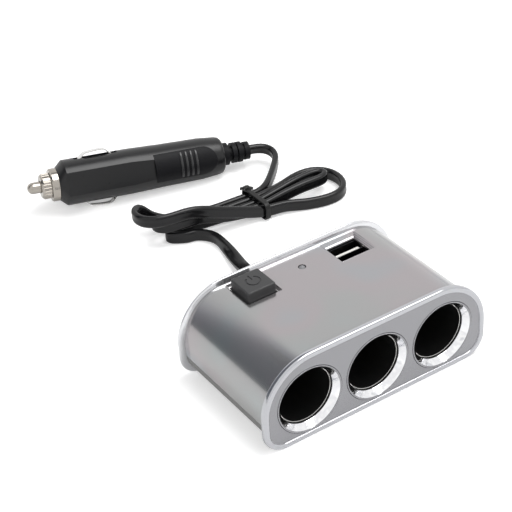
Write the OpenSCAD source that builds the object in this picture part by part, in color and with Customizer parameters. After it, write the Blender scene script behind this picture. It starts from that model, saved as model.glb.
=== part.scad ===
// Car power socket splitter: a box with three sockets, a push button and a USB window,
// a tied hank of flat cable and a plug. Millimetres, +Z up, front of the box towards -Y.

/* [Box] */
// width over the rims
body_w = 98.5; // [98:0.5:102]
// depth, front rim face to rear rim face
body_d = 57; // [57:0.5:60]
// height over the rims
body_h = 36.5; // [36.5:0.5:38]
// radius of the two upper corners
top_corner_r = 21.5; // [20.5:0.5:22]
// radius of the two lower corners
bottom_corner_r = 9; // [8:0.5:10]
// how far the rims stand proud of the shell
rim_proud = 2.2; // [2:0.1:2.4]
// thickness of the rims along the depth
rim_t = 2.2; // [2.2:0.1:2.6]
// wall of the shell and the tray
wall = 2; // [1.8:0.1:2.1]
// height of the seam between shell and tray
seam_z = 10; // [9.5:0.5:11]
// width of the raised border of the front plate
border_w = 2.3; // [1.8:0.1:2.6]
// height of that border
border_h = 0.6; // [0.4:0.1:0.8]

/* [Sockets] */
// depth of the barrel behind the collar
barrel_len = 37; // [36:0.5:37]
// inner radius of the metal sleeve
bore_r = 11; // [10.9:0.05:11]
// distance between neighbouring sockets
socket_pitch = 29.5; // [29.5:0.1:30]
// mouth radius of the collar cone
cone_r = 13.2; // [12.8:0.1:13.2]
// depth of the collar cone
cone_depth = 2.8; // [2.4:0.1:3]

/* [Button, lamp and USB window] */
// side of the square button cap
button_w = 12; // [11:0.5:12]
// how far the cap stands above the shell
button_proud = 3.3; // [2.5:0.1:3.5]
// press travel of the button
button_travel = 2; // [1.5:0.1:2]
// sideways place of the button and, mirrored, of the USB window
top_row_x = 21.3; // [20.5:0.1:22]
// place of the top row along the depth
top_row_y = 17.7; // [17:0.1:18]
// diameter of the lamp
led_d = 3; // [2.5:0.1:3]
// outer width of the USB window
window_w = 16; // [15.5:0.1:16.5]
// outer depth of the USB window
window_d = 14.4; // [14:0.1:15]

/* [Cable] */
// wide side of the flat cable
cable_w = 5.4; // [5.2:0.1:5.4]
// narrow side of the flat cable
cable_t = 2.7; // [2.5:0.1:2.7]

/* [Plug] */
// radius of the plug body
plug_r = 10; // [9.8:0.05:10]
// distance from the axis to the two flat sides
plug_flat = 8.6; // [8.5:0.1:9]
// radius over the pressed-out side contacts
contact_reach = 12.1; // [11.7:0.1:12.3]

/* [Hidden] */

round_fn = 96;      // sides of the large turned faces
small_fn = 32;      // sides of small round faces
fine_fn = 16;       // sides of wires, pins and knurls
cut = 0.5;          // how far a cutter reaches past a face
clear = 0.3;        // gap between pieces that move against each other
fit = 0.1;          // gap between pieces that stay together

// box, worked out from the sizes above
y_front = -body_d / 2;
y_rear = body_d / 2;
shell_y0 = y_front + rim_t;
shell_y1 = y_rear - rim_t;
shell_len = shell_y1 - shell_y0;
shell_top = body_h - rim_proud;
ceiling = shell_top - wall;
floor_z = rim_proud + wall;
tray_inset = rim_proud + clear;
inner_inset = rim_proud + wall;
tongue_t = 0.85;
tongue_h = 2;
tongue_root = 1;
plug_in_len = 3;
plug_in_gap = 0.15;
plug_in_inset = inner_inset + plug_in_gap;
skirt_t = 2;
skirt_len = 1.2;

// sockets
barrel_wall = 1.05;
liner_t = 0.4;
liner_gap = 0.05;
barrel_in_r = bore_r + liner_t + liner_gap;
barrel_r = barrel_in_r + barrel_wall;
cradle_sink = 0.5;
axis_z = rim_proud + wall + barrel_r - cradle_sink;
ring_edge = 0.5;
ring_sink = 0.4;
ring_step_r = cone_r + ring_edge;
ring_front_y = y_front + ring_sink;
ring_throat_r = bore_r + clear;
ring_tail = 1.2;
barrel_y0 = shell_y0 + ring_tail + fit;
barrel_y1 = barrel_y0 + barrel_len;
barrel_floor_t = 2;
barrel_floor_y = barrel_y1 - barrel_floor_t;
disc_t = 1.3;
disc_gap = 0.2;
disc_r = bore_r - disc_gap;
disc_y0 = barrel_floor_y - disc_t;
dome_r = 4.5;
dome_h = 2.6;
dome_y0 = disc_y0 - dome_h;
liner_y0 = barrel_y0 + cut;
liner_y1 = dome_y0 - clear;
shank_r = 2.4;
tail_r = 3.5;
tail_t = 0.7;
bus_t = 0.6;
bus_gap = 0.1;
bus_y0 = barrel_y1 + bus_gap;
bus_y1 = bus_y0 + bus_t;
positive_bus_h = 8;
tab_w = 4;
tab_z = axis_z + bore_r + liner_t / 2;
negative_bus_drop = 2;
negative_bus_z0 = tab_z - negative_bus_drop;
negative_bus_h = 2.8;
bus_over = 4.5;
cradle_gap = 0.2;
cradle_r = barrel_r + cradle_gap;
cradle_shares = [0.27, 0.62, 0.92];
saddle_shares = [0.35, 0.81];
rib_t = 1.8;

// screw posts
front_post_in = 10.5;
rear_post_in = [11.25, 10];
front_post = [socket_pitch / 2, y_front + front_post_in];
rear_post = [body_w / 2 - rear_post_in[0], y_rear - rear_post_in[1]];
front_post_r = 2;
rear_post_r = 2.6;
post_lift = 4;
post_z0 = floor_z + post_lift;
sleeve_t = 0.9;
screw_r = 0.95;
pilot_r = 1.05;
screw_head_r = 1.9;
screw_head_t = 1.3;
screw_len = 11;
slot_share = 0.7;

// button and switch
cap_hole_w = button_w + 2 * clear;
recess_w = 15.4;
recess_floor_w = 13.4;
recess_depth = 0.9;
flange_w = 14;
flange_t = 1;
cap_top = shell_top + button_proud;
flange_top = ceiling - clear;
cap_z0 = flange_top - flange_t;
mark_r = 2.7;
mark_w = 0.6;
mark_depth = 0.25;
switch_w = 8;
switch_gap = 4;
switch_top = cap_z0 - switch_gap;
switch_h = 9;
plunger_w = 3.2;
plunger_play = 0.35;
plunger_bore_w = plunger_w + 2 * plunger_play;
plunger_in = 2.4;
plunger_z0 = switch_top - plunger_in;
spring_in = 7;
spring_z0 = switch_top - spring_in;
spring_r = 1.35;
spring_wire_r = 0.22;
terminal_x = 2.8;
terminal_w = 0.8;
terminal_d = 1.8;
terminal_h = 4.5;

// lamp
lamp_x = 0.3;
lamp_r = led_d / 2;
lamp_proud = 0.3;

// USB window, receptacle and supply board
window_in_w = 12.8;
window_in_d = 10;
window_bevel = 1.4;
usb_w = 13.1;
usb_d = 5.7;
usb_t = 0.3;
usb_top = ceiling - clear;
usb_len = 13.6;
usb_front = 1.1;
usb_y0 = top_row_y - usb_front;
tongue_w = 11.2;
tongue_d = 1.8;
tongue_gap = 0.35;
tongue_in = 0.8;
tongue_y0 = usb_y0 + usb_t + tongue_gap;
tongue_top = usb_top - tongue_in;
board_y0 = usb_y0 + usb_d;
board_t = 1.2;
board_x0 = -8;
board_over = 8.7;
board_x1 = top_row_x + board_over;
board_lift = 2.8;
board_head = 5.3;
board_z0 = floor_z + board_lift;
board_z1 = ceiling - board_head;
left_post_in = 2.2;
right_post_in = [3.5, 4];
board_post = [[board_x0 + left_post_in, board_z0 + left_post_in],
    [board_x1 - right_post_in[0], board_z0 + right_post_in[1]]];
board_post_r = 2.2;

// grommet and cable slot
slot_z = 14;
grommet_w = 8.2;
grommet_h = 5.4;
grommet_flange = 1.2;
grommet_nose = 6;
cable_gap = 0.15;
cable_in = 3.9;

// cable stretches: x, distance behind the rear face, z and roll
// (90 lies flat, 0 stands on edge)
hank_base = 1.2;
box_lead = [
    [0, -cable_in, slot_z, 90], [0, 1.5, slot_z, 90], [0, 7.5, slot_z, 90],
    [0.4, 13.5, 13.4, 90], [1.2, 19.5, 12, 90], [2.2, 25.5, 9.8, 85], [3.4, 31.5, 7.2, 80],
    [4.8, 37.5, 4.9, 70], [6.2, 43.5, 3.4, 60], [7.4, 49.5, 2.9, 45], [8.4, 55.5, 2.8, 25],
    [9.1, 61, 2.7, 10], [9.4, 65, 2.7, 0], [8.4, 69, 2.7, 0], [5.6, 72.4, 2.7, 0],
    [2.2, 74.7, 2.7, 0]];
plug_lead = [
    [62, 108.6, 7, 20], [64, 104.9, 6.4, 10],
    [63.2, 100.4, 5.7, 0], [59.6, 95.9, 5.1, 0], [54.6, 90.9, 4.6, 0],
    [49.4, 86.2, 4.2, 0], [44.8, 83.1, 4, 0]];
straight = 3;

// hank: the tie is the waist, every half turn has its reach, first and last place,
// belly at both, and lift. Places are counted in strand pitches from the middle.
tie_place = [36, 75.5];
tie_xy = [tie_place[0], y_rear + tie_place[1]];
strand_pitch = 3.3;
turn_rings = 24;
hank_rings = 56;
lean = -0.093;
bend = 0.083;
bend_r = 10;
wrap_turn = 3;
wrap_climb = [4, 14];
near_climb = [8, 18];
far_climb_shares = [0.7, 0.25];
base_climb = [6, 14];
half_turns = [
    [-1, 53.5, 2, -2, 8, 8, 11.8, 0.07],
    [1, 41, -2, 1, 24, 22, 0, -0.04],
    [-1, 46.5, 1, -1, 4, 6, 5.9, 0.07],
    [1, 34.5, -1, 0, 4, 5, 4.2, 0.07],
    [-1, 42.5, 0, -1.3, 3, 4.5, 0, 0.07]];
tie_w = 5;
tie_t = 0.8;
tie_half = 9.6;
tie_top = 8.6;

// plug: distances from the tip along its axis
plug_place = [-42.7, 134.7, 14];
plug_origin = plug_place + [0, y_rear, 0];
plug_heading = -13.8;
plug_tilt = 3.6;
plug_roll = -22;
pin_r = 2.5;
pin_flange_r = 3.4;
pin_flange_x = 7.8;
pin_flange_t = 1.1;
pin_travel = 4;
nut_x0 = 5.8;
nut_x1 = 9.7;
nut_r = 5.6;
nut_wall = 1.7;
nut_bore_r = 4.8;
knurls = 24;
knurl_r = 0.35;
collar_x0 = nut_x1 + clear;
collar_x1 = 13.2;
collar_r = 7.2;
spigot_fit = 0.08;
spigot_r = nut_bore_r - spigot_fit;
sleeve_r = 5.2;
sleeve_x1 = 18;
pin_play = 0.35;
collar_bore_r = pin_flange_r + pin_play;
shell_x1 = 88;
plug_x = [16.4, 45, 59.5, 78, 86, shell_x1];
plug_r_shares = [1, 1, 0.95, 0.92, 0.84, 0.74];
plug_profile = concat([[collar_x1, collar_r]],
    [for (i = [0:len(plug_x) - 1]) [plug_x[i], plug_r * plug_r_shares[i]]]);
flat_x0 = 15.9;
flat_x1 = 57;
fuse_r = 3.15;
fuse_len = 30;
fuse_x0 = pin_flange_x + pin_flange_t;
fuse_x1 = fuse_x0 + fuse_len;
fuse_bore_r = 4;
cup_r = 4.2;
cup_in_r = 3.75;
cup_x0 = 43.2;
cup_x1 = 50.2;
cup_bore_r = cup_r + fit;
pin_spring_r = 2.9;
pin_spring_wire_r = 0.35;
pin_spring_x1 = 45;
core_x0 = 57;
core_x1 = 84;
core_r = 6;
wire_way_r = 1.3;
wire_way_z = 4.4;
wire_way_len = 8;
contact_w = 4.5;
contact_t = 0.6;
contact_x0 = 22.6;
contact_x1 = 40;
contact_foot_z = 7.3;
contact_pocket_z = 4.7;
contact_pocket_room = 1;
pad_x0 = 55.5;
pad_x1 = 84;
pad_w = 12.5;
pad_t = 1.2;
pad_proud = 0.2;
pad_rib_x = 67.5;
pad_rib_pitch = 2.3;
pad_rib_w = 1.1;
pad_rib_h = 0.5;
pad_ribs = 4;
pad_rib_in = 0.6;
boot_flange_r = 4.6;
boot_flange_t = 1.2;
boot_seat_gap = 0.4;
boot_seat_t = 1.5;
boot_end_t = 6;
boot_core_r = 3.2;
boot_x1 = 101;
boot_rings = [[88.7, 91, 5.05], [92.9, 94.9, 4.6], [95.5, 97.5, 4.6], [98.8, 101, 4.05]];
plug_screw_x = 53.6;
plug_screw_head_r = 2;
plug_screw_head_t = 1.4;
plug_screw_wall = 1.6;
plug_slot_share = 0.75;

// outlines in the X-Z plane
module d_shape(w, h, rt, rb) {
    intersection() {
        for (s = [-1, 1])
            translate([s * (w / 2 - rt), h - rt]) circle(r = rt, $fn = round_fn);
        translate([-w / 2, h - rt]) square([w, rt]);
    }
    for (s = [-1, 1])
        translate([s * (w / 2 - rb), rb]) circle(r = rb, $fn = round_fn);
    translate([-(w / 2 - rt), 0]) square([w - 2 * rt, h]);
    translate([-w / 2, rb]) square([w, h - rt - rb]);
    translate([-(w / 2 - rb), 0]) square([w - 2 * rb, h - rt]);
}

module body_shape(inset) {
    translate([0, inset])
        d_shape(body_w - 2 * inset, body_h - 2 * inset,
            top_corner_r - inset, bottom_corner_r - inset);
}

module along_y(y0, len) {
    translate([0, y0 + len, 0]) rotate([90, 0, 0]) linear_extrude(len) children();
}

module body_slab(inset, y0, len) {
    along_y(y0, len) body_shape(inset);
}

module y_rod(r, y0, len, fn = round_fn) {
    translate([0, y0 + len, 0]) rotate([90, 0, 0]) cylinder(r = r, h = len, $fn = fn);
}

module box_at(x, y, z, w, d, h) {
    translate([x - w / 2, y - d / 2, z]) cube([w, d, h]);
}

module at_socket(i) {
    translate([(i - 1) * socket_pitch, 0, axis_z]) children();
}

module at_posts() {
    for (s = [-1, 1]) {
        translate([s * front_post[0], front_post[1], 0]) children(0);
        translate([s * rear_post[0], rear_post[1], 0]) children(1);
    }
}

module below_seam(gap) {
    translate([-body_w, -body_d, -cut]) cube([2 * body_w, 2 * body_d, seam_z - gap + cut]);
}

// box pieces
module window_cut() {
    translate([top_row_x, top_row_y, 0]) {
        box_at(0, 0, ceiling - cut, window_in_w, window_in_d, wall + 2 * cut);
        translate([0, 0, shell_top - window_bevel])
            hull() {
                box_at(0, 0, 0, window_in_w, window_in_d, mark_depth);
                box_at(0, 0, window_bevel, window_w, window_d, mark_depth);
            }
    }
}

module button_cut() {
    translate([-top_row_x, top_row_y, 0]) {
        box_at(0, 0, ceiling - cut, cap_hole_w, cap_hole_w, wall + 2 * cut);
        translate([0, 0, shell_top - recess_depth])
            hull() {
                box_at(0, 0, 0, recess_floor_w, recess_floor_w, mark_depth);
                box_at(0, 0, recess_depth, recess_w, recess_w, mark_depth);
            }
    }
}

module upper_shell() {
    saddle_w = 14;
    post_top = ceiling + wall / 2;
    saddle_z = axis_z + barrel_r / 2;
    color("#b9bcc0") difference() {
        union() {
            difference() {
                body_slab(rim_proud, shell_y0, shell_len);
                body_slab(inner_inset, shell_y0 - cut, shell_len + 2 * cut);
            }
            intersection() {
                body_slab(rim_proud + wall / 2, shell_y0 + plug_in_len + clear,
                    shell_len - 2 * (plug_in_len + clear));
                union() {
                    for (i = [0, 1, 2], s = saddle_shares)
                        box_at((i - 1) * socket_pitch, barrel_y0 + s * barrel_len, saddle_z,
                            saddle_w, rib_t, post_top - saddle_z);
                    at_posts() {
                        translate([0, 0, post_z0]) cylinder(r = front_post_r,
                            h = post_top - post_z0, $fn = small_fn);
                        translate([0, 0, post_z0]) cylinder(r = rear_post_r,
                            h = post_top - post_z0, $fn = small_fn);
                    }
                }
            }
        }
        for (i = [0, 1, 2]) at_socket(i)
            y_rod(cradle_r, barrel_y0, barrel_len);
        difference() {
            below_seam(0);
            at_posts() {
                translate([0, 0, post_z0]) cylinder(r = front_post_r, h = seam_z, $fn = small_fn);
                translate([0, 0, post_z0]) cylinder(r = rear_post_r, h = seam_z, $fn = small_fn);
            }
        }
        intersection() {
            difference() {
                body_slab(inner_inset - tongue_t - fit, shell_y0 - cut, shell_len + 2 * cut);
                body_slab(inner_inset + cut, shell_y0 - body_d, 2 * body_d);
            }
            translate([-body_w, -body_d, seam_z - cut])
                cube([2 * body_w, 2 * body_d, tongue_h + clear + cut]);
        }
        at_posts() {
            translate([0, 0, post_z0 - cut])
                cylinder(r = pilot_r, h = screw_len, $fn = small_fn);
            translate([0, 0, post_z0 - cut])
                cylinder(r = pilot_r, h = screw_len, $fn = small_fn);
        }
        window_cut();
        button_cut();
        translate([lamp_x, top_row_y, ceiling - cut])
            cylinder(r = lamp_r + fit, h = wall + 2 * cut, $fn = small_fn);
    }
}

module lower_tray() {
    cradle_w = 16;
    post_sleeve = sleeve_t + fit;
    switch_post_r = 1.6;
    foot_z = floor_z - cut;
    color("#4b4d50") difference() {
        union() {
            difference() {
                intersection() {
                    body_slab(tray_inset, shell_y0, shell_len);
                    below_seam(fit);
                }
                body_slab(inner_inset, shell_y0 - cut, shell_len + 2 * cut);
            }
            intersection() {
                difference() {
                    body_slab(inner_inset - tongue_t, shell_y0, shell_len);
                    body_slab(inner_inset, shell_y0 - cut, shell_len + 2 * cut);
                }
                translate([-body_w, -body_d, seam_z - tongue_root])
                    cube([2 * body_w, 2 * body_d, tongue_h + tongue_root]);
            }
            for (i = [0, 1, 2], s = cradle_shares)
                box_at((i - 1) * socket_pitch, barrel_y0 + s * barrel_len, foot_z,
                    cradle_w, rib_t, seam_z - foot_z);
            at_posts() {
                translate([0, 0, foot_z]) cylinder(r = screw_head_r + sleeve_t,
                    h = post_z0 - fit - foot_z, $fn = small_fn);
                translate([0, 0, foot_z]) cylinder(r = rear_post_r + post_sleeve,
                    h = post_z0 - fit - foot_z, $fn = small_fn);
            }
            translate([-top_row_x, top_row_y, foot_z])
                cylinder(r = switch_post_r, h = switch_top - switch_h - foot_z, $fn = small_fn);
        }
        for (i = [0, 1, 2]) at_socket(i)
            y_rod(cradle_r, shell_y0 - cut, barrel_y1 - shell_y0 + cut);
        at_posts() {
            screw_way();
            screw_way();
        }
    }
}

module screw_way() {
    translate([0, 0, rim_proud - cut])
        cylinder(r = screw_head_r + fit, h = clear + screw_head_t + 2 * cut, $fn = small_fn);
    translate([0, 0, rim_proud])
        cylinder(r = screw_r + fit, h = post_z0, $fn = small_fn);
}

module base_screws() {
    head_z = rim_proud + clear + cut;
    slot_w = 0.5;
    slot_h = 0.6;
    color("#8f8f92") at_posts() {
        screw(head_z, slot_w, slot_h);
        screw(head_z, slot_w, slot_h);
    }
}

module screw(z, slot_w, slot_h) {
    difference() {
        union() {
            translate([0, 0, z]) cylinder(r = screw_head_r, h = screw_head_t, $fn = small_fn);
            translate([0, 0, z + screw_head_t])
                cylinder(r = screw_r, h = screw_len, $fn = small_fn);
        }
        box_at(0, 0, z - cut, 2 * screw_head_r * slot_share, slot_w, slot_h + cut);
        box_at(0, 0, z - cut, slot_w, 2 * screw_head_r * slot_share, slot_h + cut);
    }
}

module front_bezel() {
    edge = 0.5;
    plate_y = y_front + border_h;
    color("#aeb1b5") difference() {
        union() {
            body_slab(edge, y_front, edge);
            body_slab(0, y_front + edge, rim_t - edge);
            body_slab(plug_in_inset, shell_y0, plug_in_len);
        }
        along_y(y_front - cut, border_h + cut) body_shape(border_w);
        for (i = [0, 1, 2]) at_socket(i) {
            y_rod(ring_step_r + fit, y_front - cut, rim_t + cut);
            y_rod(barrel_r + fit, y_front - cut, rim_t + plug_in_len + 2 * cut);
        }
    }
}

module rear_bezel() {
    edge = 0.5;
    color("#aeb1b5") difference() {
        union() {
            body_slab(edge, y_rear - edge, edge);
            body_slab(0, shell_y1, rim_t - edge);
            difference() {
                body_slab(plug_in_inset, shell_y1 - skirt_len, skirt_len);
                body_slab(plug_in_inset + skirt_t, shell_y1 - skirt_len - cut,
                    skirt_len + cut);
            }
            for (p = board_post) translate([p[0], 0, p[1]])
                y_rod(board_post_r, board_y0 + board_t, shell_y1 - board_y0, small_fn);
        }
        for (p = board_post) translate([p[0], 0, p[1]])
            y_rod(pilot_r, board_y0, shell_y1 - board_y0 + rim_t / 2, small_fn);
        translate([0, 0, slot_z]) flat_rod(grommet_w + 2 * fit, grommet_h + 2 * fit,
            shell_y1 - plug_in_len, plug_in_len + rim_t + cut);
    }
}

// a bar with round sides along Y, centred on the axis
module flat_rod(w, h, y0, len) {
    along_y(y0, len) {
        for (s = [-1, 1]) translate([s * (w - h) / 2, 0]) circle(r = h / 2, $fn = small_fn);
        square([w - h, h], center = true);
    }
}

module cable_grommet() {
    wide = 1.2;
    way_w = cable_w + 2 * cable_gap;
    way_h = cable_t + 2 * cable_gap;
    nose_cut = 0.5;
    color("#1b1b1d") translate([0, 0, slot_z]) difference() {
        union() {
            flat_rod(grommet_w, grommet_h, shell_y1 - grommet_flange, rim_t + grommet_flange);
            flat_rod(grommet_w + 2 * wide, grommet_h + 2 * wide,
                shell_y1 - grommet_flange - fit, grommet_flange);
            flat_rod(grommet_w + 2 * wide, grommet_h + 2 * wide, y_rear + fit, grommet_flange);
            flat_rod(grommet_w, grommet_h, y_rear, grommet_nose - nose_cut);
            flat_rod(grommet_w - 2 * nose_cut, grommet_h - 2 * nose_cut,
                y_rear + grommet_nose - nose_cut, nose_cut);
        }
        flat_rod(way_w, way_h, shell_y1 - plug_in_len, body_d);
    }
}

// sockets
module trim_ring() {
    color("#9fa2a6") difference() {
        union() {
            y_rod(ring_step_r, ring_front_y, shell_y0 - ring_front_y);
            y_rod(barrel_r, shell_y0 - fit, ring_tail + fit);
        }
        translate([0, ring_front_y + cone_depth, 0]) rotate([90, 0, 0])
            cylinder(r1 = ring_throat_r,
                r2 = cone_r + (cone_r - ring_throat_r) / cone_depth * cut,
                h = cone_depth + cut, $fn = round_fn);
        y_rod(ring_throat_r, y_front, rim_t + ring_tail + cut);
    }
}

module socket_barrel() {
    hole_r = 3.1;
    slot_w = tab_w + 2 * clear;
    slot_h = liner_t + cut;
    color("#2a2a2c") difference() {
        y_rod(barrel_r, barrel_y0, barrel_len);
        y_rod(barrel_in_r, barrel_y0 - cut, barrel_len - barrel_floor_t + cut);
        y_rod(hole_r, barrel_y0, barrel_len + cut);
        box_at(0, barrel_y1, bore_r + liner_t / 2 - slot_h / 2,
            slot_w, 2 * (barrel_floor_t + cut), slot_h);
    }
}

module socket_liner() {
    color("#c9c9c6") {
        difference() {
            y_rod(bore_r + liner_t, liner_y0, liner_y1 - liner_y0);
            y_rod(bore_r, liner_y0 - cut, liner_y1 - liner_y0 + 2 * cut);
        }
        translate([-tab_w / 2, liner_y1 - cut, bore_r + liner_gap])
            cube([tab_w, bus_y0 - liner_y1 + cut, liner_t - 2 * liner_gap]);
    }
}

module insulator_disc() {
    disc_hole_r = 2.6;
    color("#d8d2c0") difference() {
        y_rod(disc_r, disc_y0, disc_t);
        y_rod(disc_hole_r, disc_y0 - disc_t, 3 * disc_t, small_fn);
    }
}

module centre_contact() {
    ball_r = (dome_r * dome_r + dome_h * dome_h) / (2 * dome_h);
    color("#c8a35a") {
        intersection() {
            translate([0, dome_y0 + ball_r, 0]) sphere(r = ball_r, $fn = round_fn);
            y_rod(dome_r, dome_y0, dome_h);
        }
        y_rod(shank_r, disc_y0 - cut, bus_y1 + tail_t - disc_y0 + cut, small_fn);
        y_rod(tail_r, bus_y1, tail_t, small_fn);
    }
}

module positive_bus() {
    hole_r = shank_r + fit;
    color("#c8a35a") difference() {
        translate([-socket_pitch - bus_over, bus_y0, axis_z - positive_bus_h / 2])
            cube([2 * (socket_pitch + bus_over), bus_t, positive_bus_h]);
        for (i = [0, 1, 2]) at_socket(i) y_rod(hole_r, bus_y0 - cut, bus_t + 2 * cut, small_fn);
    }
}

module negative_bus() {
    half = socket_pitch + tab_w / 2;
    color("#c9c9c6") translate([-half, bus_y0, negative_bus_z0])
        cube([2 * half, bus_t, negative_bus_h]);
}

// button and switch
module power_button() {
    edge = 0.8;
    hollow_w = 8.4;
    hollow_h = 4;
    stem_w = 4.4;
    gap_angle = 32;
    bar_len = 2.6;
    color("#3c3d40") translate([-top_row_x, top_row_y, 0]) difference() {
        union() {
            box_at(0, 0, cap_z0, flange_w, flange_w, flange_t);
            box_at(0, 0, cap_z0, button_w, button_w, cap_top - edge - cap_z0);
            hull() {
                box_at(0, 0, cap_top - edge - mark_w, button_w, button_w, mark_w);
                box_at(0, 0, cap_top - mark_depth, button_w - 2 * edge, button_w - 2 * edge,
                    mark_depth);
            }
        }
        difference() {
            box_at(0, 0, cap_z0 - cut, hollow_w, hollow_w, hollow_h + cut);
            box_at(0, 0, cap_z0, stem_w, stem_w, hollow_h + cut);
        }
        translate([0, 0, cap_top - mark_depth]) {
            difference() {
                cylinder(r = mark_r + mark_w / 2, h = cut, $fn = small_fn);
                translate([0, 0, -cut])
                    cylinder(r = mark_r - mark_w / 2, h = 3 * cut, $fn = small_fn);
                for (a = [-gap_angle, gap_angle]) rotate([0, 0, a])
                    translate([-mark_w, 0, -cut]) cube([2 * mark_w, 2 * mark_r, 3 * cut]);
                translate([-mark_w, 0, -cut]) cube([2 * mark_w, 2 * mark_r, 3 * cut]);
            }
            translate([-mark_w / 2, mark_r - bar_len / 2, 0]) cube([mark_w, bar_len, cut]);
        }
    }
}

module switch_body() {
    rim_h = 0.8;
    rim_w = 6;
    color("#202124") translate([-top_row_x, top_row_y, 0]) difference() {
        union() {
            box_at(0, 0, switch_top - switch_h, switch_w, switch_w, switch_h - rim_h);
            box_at(0, 0, switch_top - switch_h, rim_w, rim_w, switch_h);
        }
        box_at(0, 0, spring_z0, plunger_bore_w, plunger_bore_w, switch_h);
    }
}

module switch_plunger() {
    color("#e3e2dc") translate([-top_row_x, top_row_y, 0])
        box_at(0, 0, plunger_z0, plunger_w, plunger_w, cap_z0 - plunger_z0);
}

module switch_terminals() {
    root_z = switch_top - switch_h;
    color("#c9c9c6") for (s = [-1, 1])
        translate([-top_row_x + s * terminal_x, top_row_y, 0])
            box_at(0, 0, root_z - terminal_h, terminal_w, terminal_d, terminal_h);
}

function coil_points(r, pitch, turns, steps) =
    [for (i = [0:steps * turns]) let (a = 360 * i / steps)
        [r * cos(a), r * sin(a), pitch * i / steps]];

module coil(r, wire_r, height, turns) {
    steps = 14;
    pitch = (height - 2 * wire_r) / turns;
    pts = coil_points(r, pitch, turns, steps);
    translate([0, 0, wire_r]) sweep(round_rings(pts, wire_r, 6));
}

module switch_spring() {
    turns = 4;
    color("#c9c9c6") translate([-top_row_x, top_row_y, spring_z0 + mark_depth])
        coil(spring_r, spring_wire_r, plunger_z0 - spring_z0 - 2 * mark_depth, turns);
}

// lamp, receptacle and supply board
module status_led() {
    rim = 0.4;
    dome_z = shell_top + lamp_proud - lamp_r;
    leg_r = 0.25;
    leg_gap = 1.27;
    leg_in = 1;
    base_t = 1;
    leg_z = board_z1 - leg_in;
    base_z = ceiling - clear - base_t;
    color("#8fb7d8") translate([lamp_x, top_row_y, 0]) {
        intersection() {
            union() {
                translate([0, 0, dome_z]) sphere(r = lamp_r, $fn = small_fn);
                translate([0, 0, base_z])
                    cylinder(r = lamp_r, h = dome_z - base_z, $fn = small_fn);
            }
            translate([0, 0, base_z]) cylinder(r = lamp_r, h = body_h, $fn = small_fn);
        }
        translate([0, 0, base_z]) cylinder(r = lamp_r + rim, h = base_t, $fn = small_fn);
        for (s = [-1, 1]) translate([s * leg_gap, 0, 0]) {
            translate([0, 0, leg_z]) cylinder(r = leg_r, h = base_z - leg_z + leg_r, $fn = fine_fn);
            translate([0, 0, leg_z - leg_r]) sphere(r = 2 * leg_r, $fn = fine_fn);
            translate([0, 0, leg_z - leg_r])
                y_rod(leg_r, 0, board_y0 - top_row_y - fit, fine_fn);
        }
    }
}

module usb_shell() {
    in_w = usb_w - 2 * usb_t;
    in_d = usb_d - 2 * usb_t;
    mid_y = usb_y0 + usb_d / 2;
    color("#c9cacc") difference() {
        box_at(top_row_x, mid_y, usb_top - usb_len, usb_w, usb_d, usb_len);
        box_at(top_row_x, mid_y, usb_top - usb_len + usb_t, in_w, in_d, usb_len);
    }
}

module usb_tongue() {
    base_h = 2.6;
    root_z = usb_top - usb_len + usb_t + fit;
    in_w = usb_w - 2 * usb_t - 2 * fit;
    in_d = usb_d - 2 * usb_t - 2 * fit;
    color("#e9e9e6") {
        box_at(top_row_x, usb_y0 + usb_d / 2, root_z, in_w, in_d, base_h);
        box_at(top_row_x, tongue_y0 + tongue_d / 2, root_z, tongue_w, tongue_d,
            tongue_top - root_z);
    }
}

module usb_contacts() {
    strip_w = 1;
    strip_t = 0.25;
    strip_len = 7.5;
    strip_in = 0.6;
    places = [-3.5, -1, 1, 3.5];
    color("#d3b25c") for (x = places)
        box_at(top_row_x + x, tongue_y0 + tongue_d + strip_t / 2,
            tongue_top - strip_len - strip_in, strip_w, strip_t, strip_len);
}

module charger_board() {
    hole_r = pilot_r + fit;
    slot_room = 3;
    color("#2e6b46") difference() {
        translate([board_x0, board_y0, board_z0])
            cube([board_x1 - board_x0, board_t, board_z1 - board_z0]);
        for (p = board_post) translate([p[0], 0, p[1]])
            y_rod(hole_r, board_y0 - cut, board_t + 2 * cut, small_fn);
        translate([0, 0, slot_z]) flat_rod(grommet_w + slot_room, grommet_h + slot_room,
            board_y0 - cut, board_t + 2 * cut);
    }
}

module board_screws() {
    head_t = 1.2;
    len = 5;
    color("#8f8f92") for (p = board_post) translate([p[0], 0, p[1]]) {
        y_rod(screw_head_r, board_y0 - head_t, head_t, small_fn);
        y_rod(screw_r, board_y0 - fit, len, small_fn);
    }
}

module board_inductor() {
    place = [12, 3];
    w = 6.4;
    h = 3;
    drum_r = 2.6;
    drum_proud = 0.6;
    x = board_x1 - place[0];
    z = board_z0 + place[1];
    color("#4a4a4c") {
        box_at(x, board_y0 - h / 2, z, w, h, w);
        translate([x, 0, z + w / 2])
            y_rod(drum_r, board_y0 - h - drum_proud, h, small_fn);
    }
}

module board_capacitors() {
    r = 2.4;
    len = 6.2;
    places = [[18.6, 1.2], [5.4, 10.6]];
    color("#30405a") for (p = places)
        translate([board_x0 + p[0], board_y0 - r, board_z0 + p[1]])
            cylinder(r = r, h = len, $fn = small_fn);
}

module board_chip() {
    place = [16.6, 11.6];
    body = [5, 1.6, 4.2];
    body_mid = 0.9;
    leg = [1.2, 0.4, 0.4];
    leg_mid = 0.3;
    leg_x = 2.8;
    leg_pitch = 1.05;
    x = board_x0 + place[0];
    z = board_z0 + place[1];
    color("#1e1e20") {
        box_at(x, board_y0 - body_mid, z, body[0], body[1], body[2]);
        for (i = [0:3], s = [-1, 1])
            box_at(x + s * leg_x, board_y0 - leg_mid, z + leg[1] + i * leg_pitch,
                leg[0], leg[1], leg[2]);
    }
}

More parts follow.
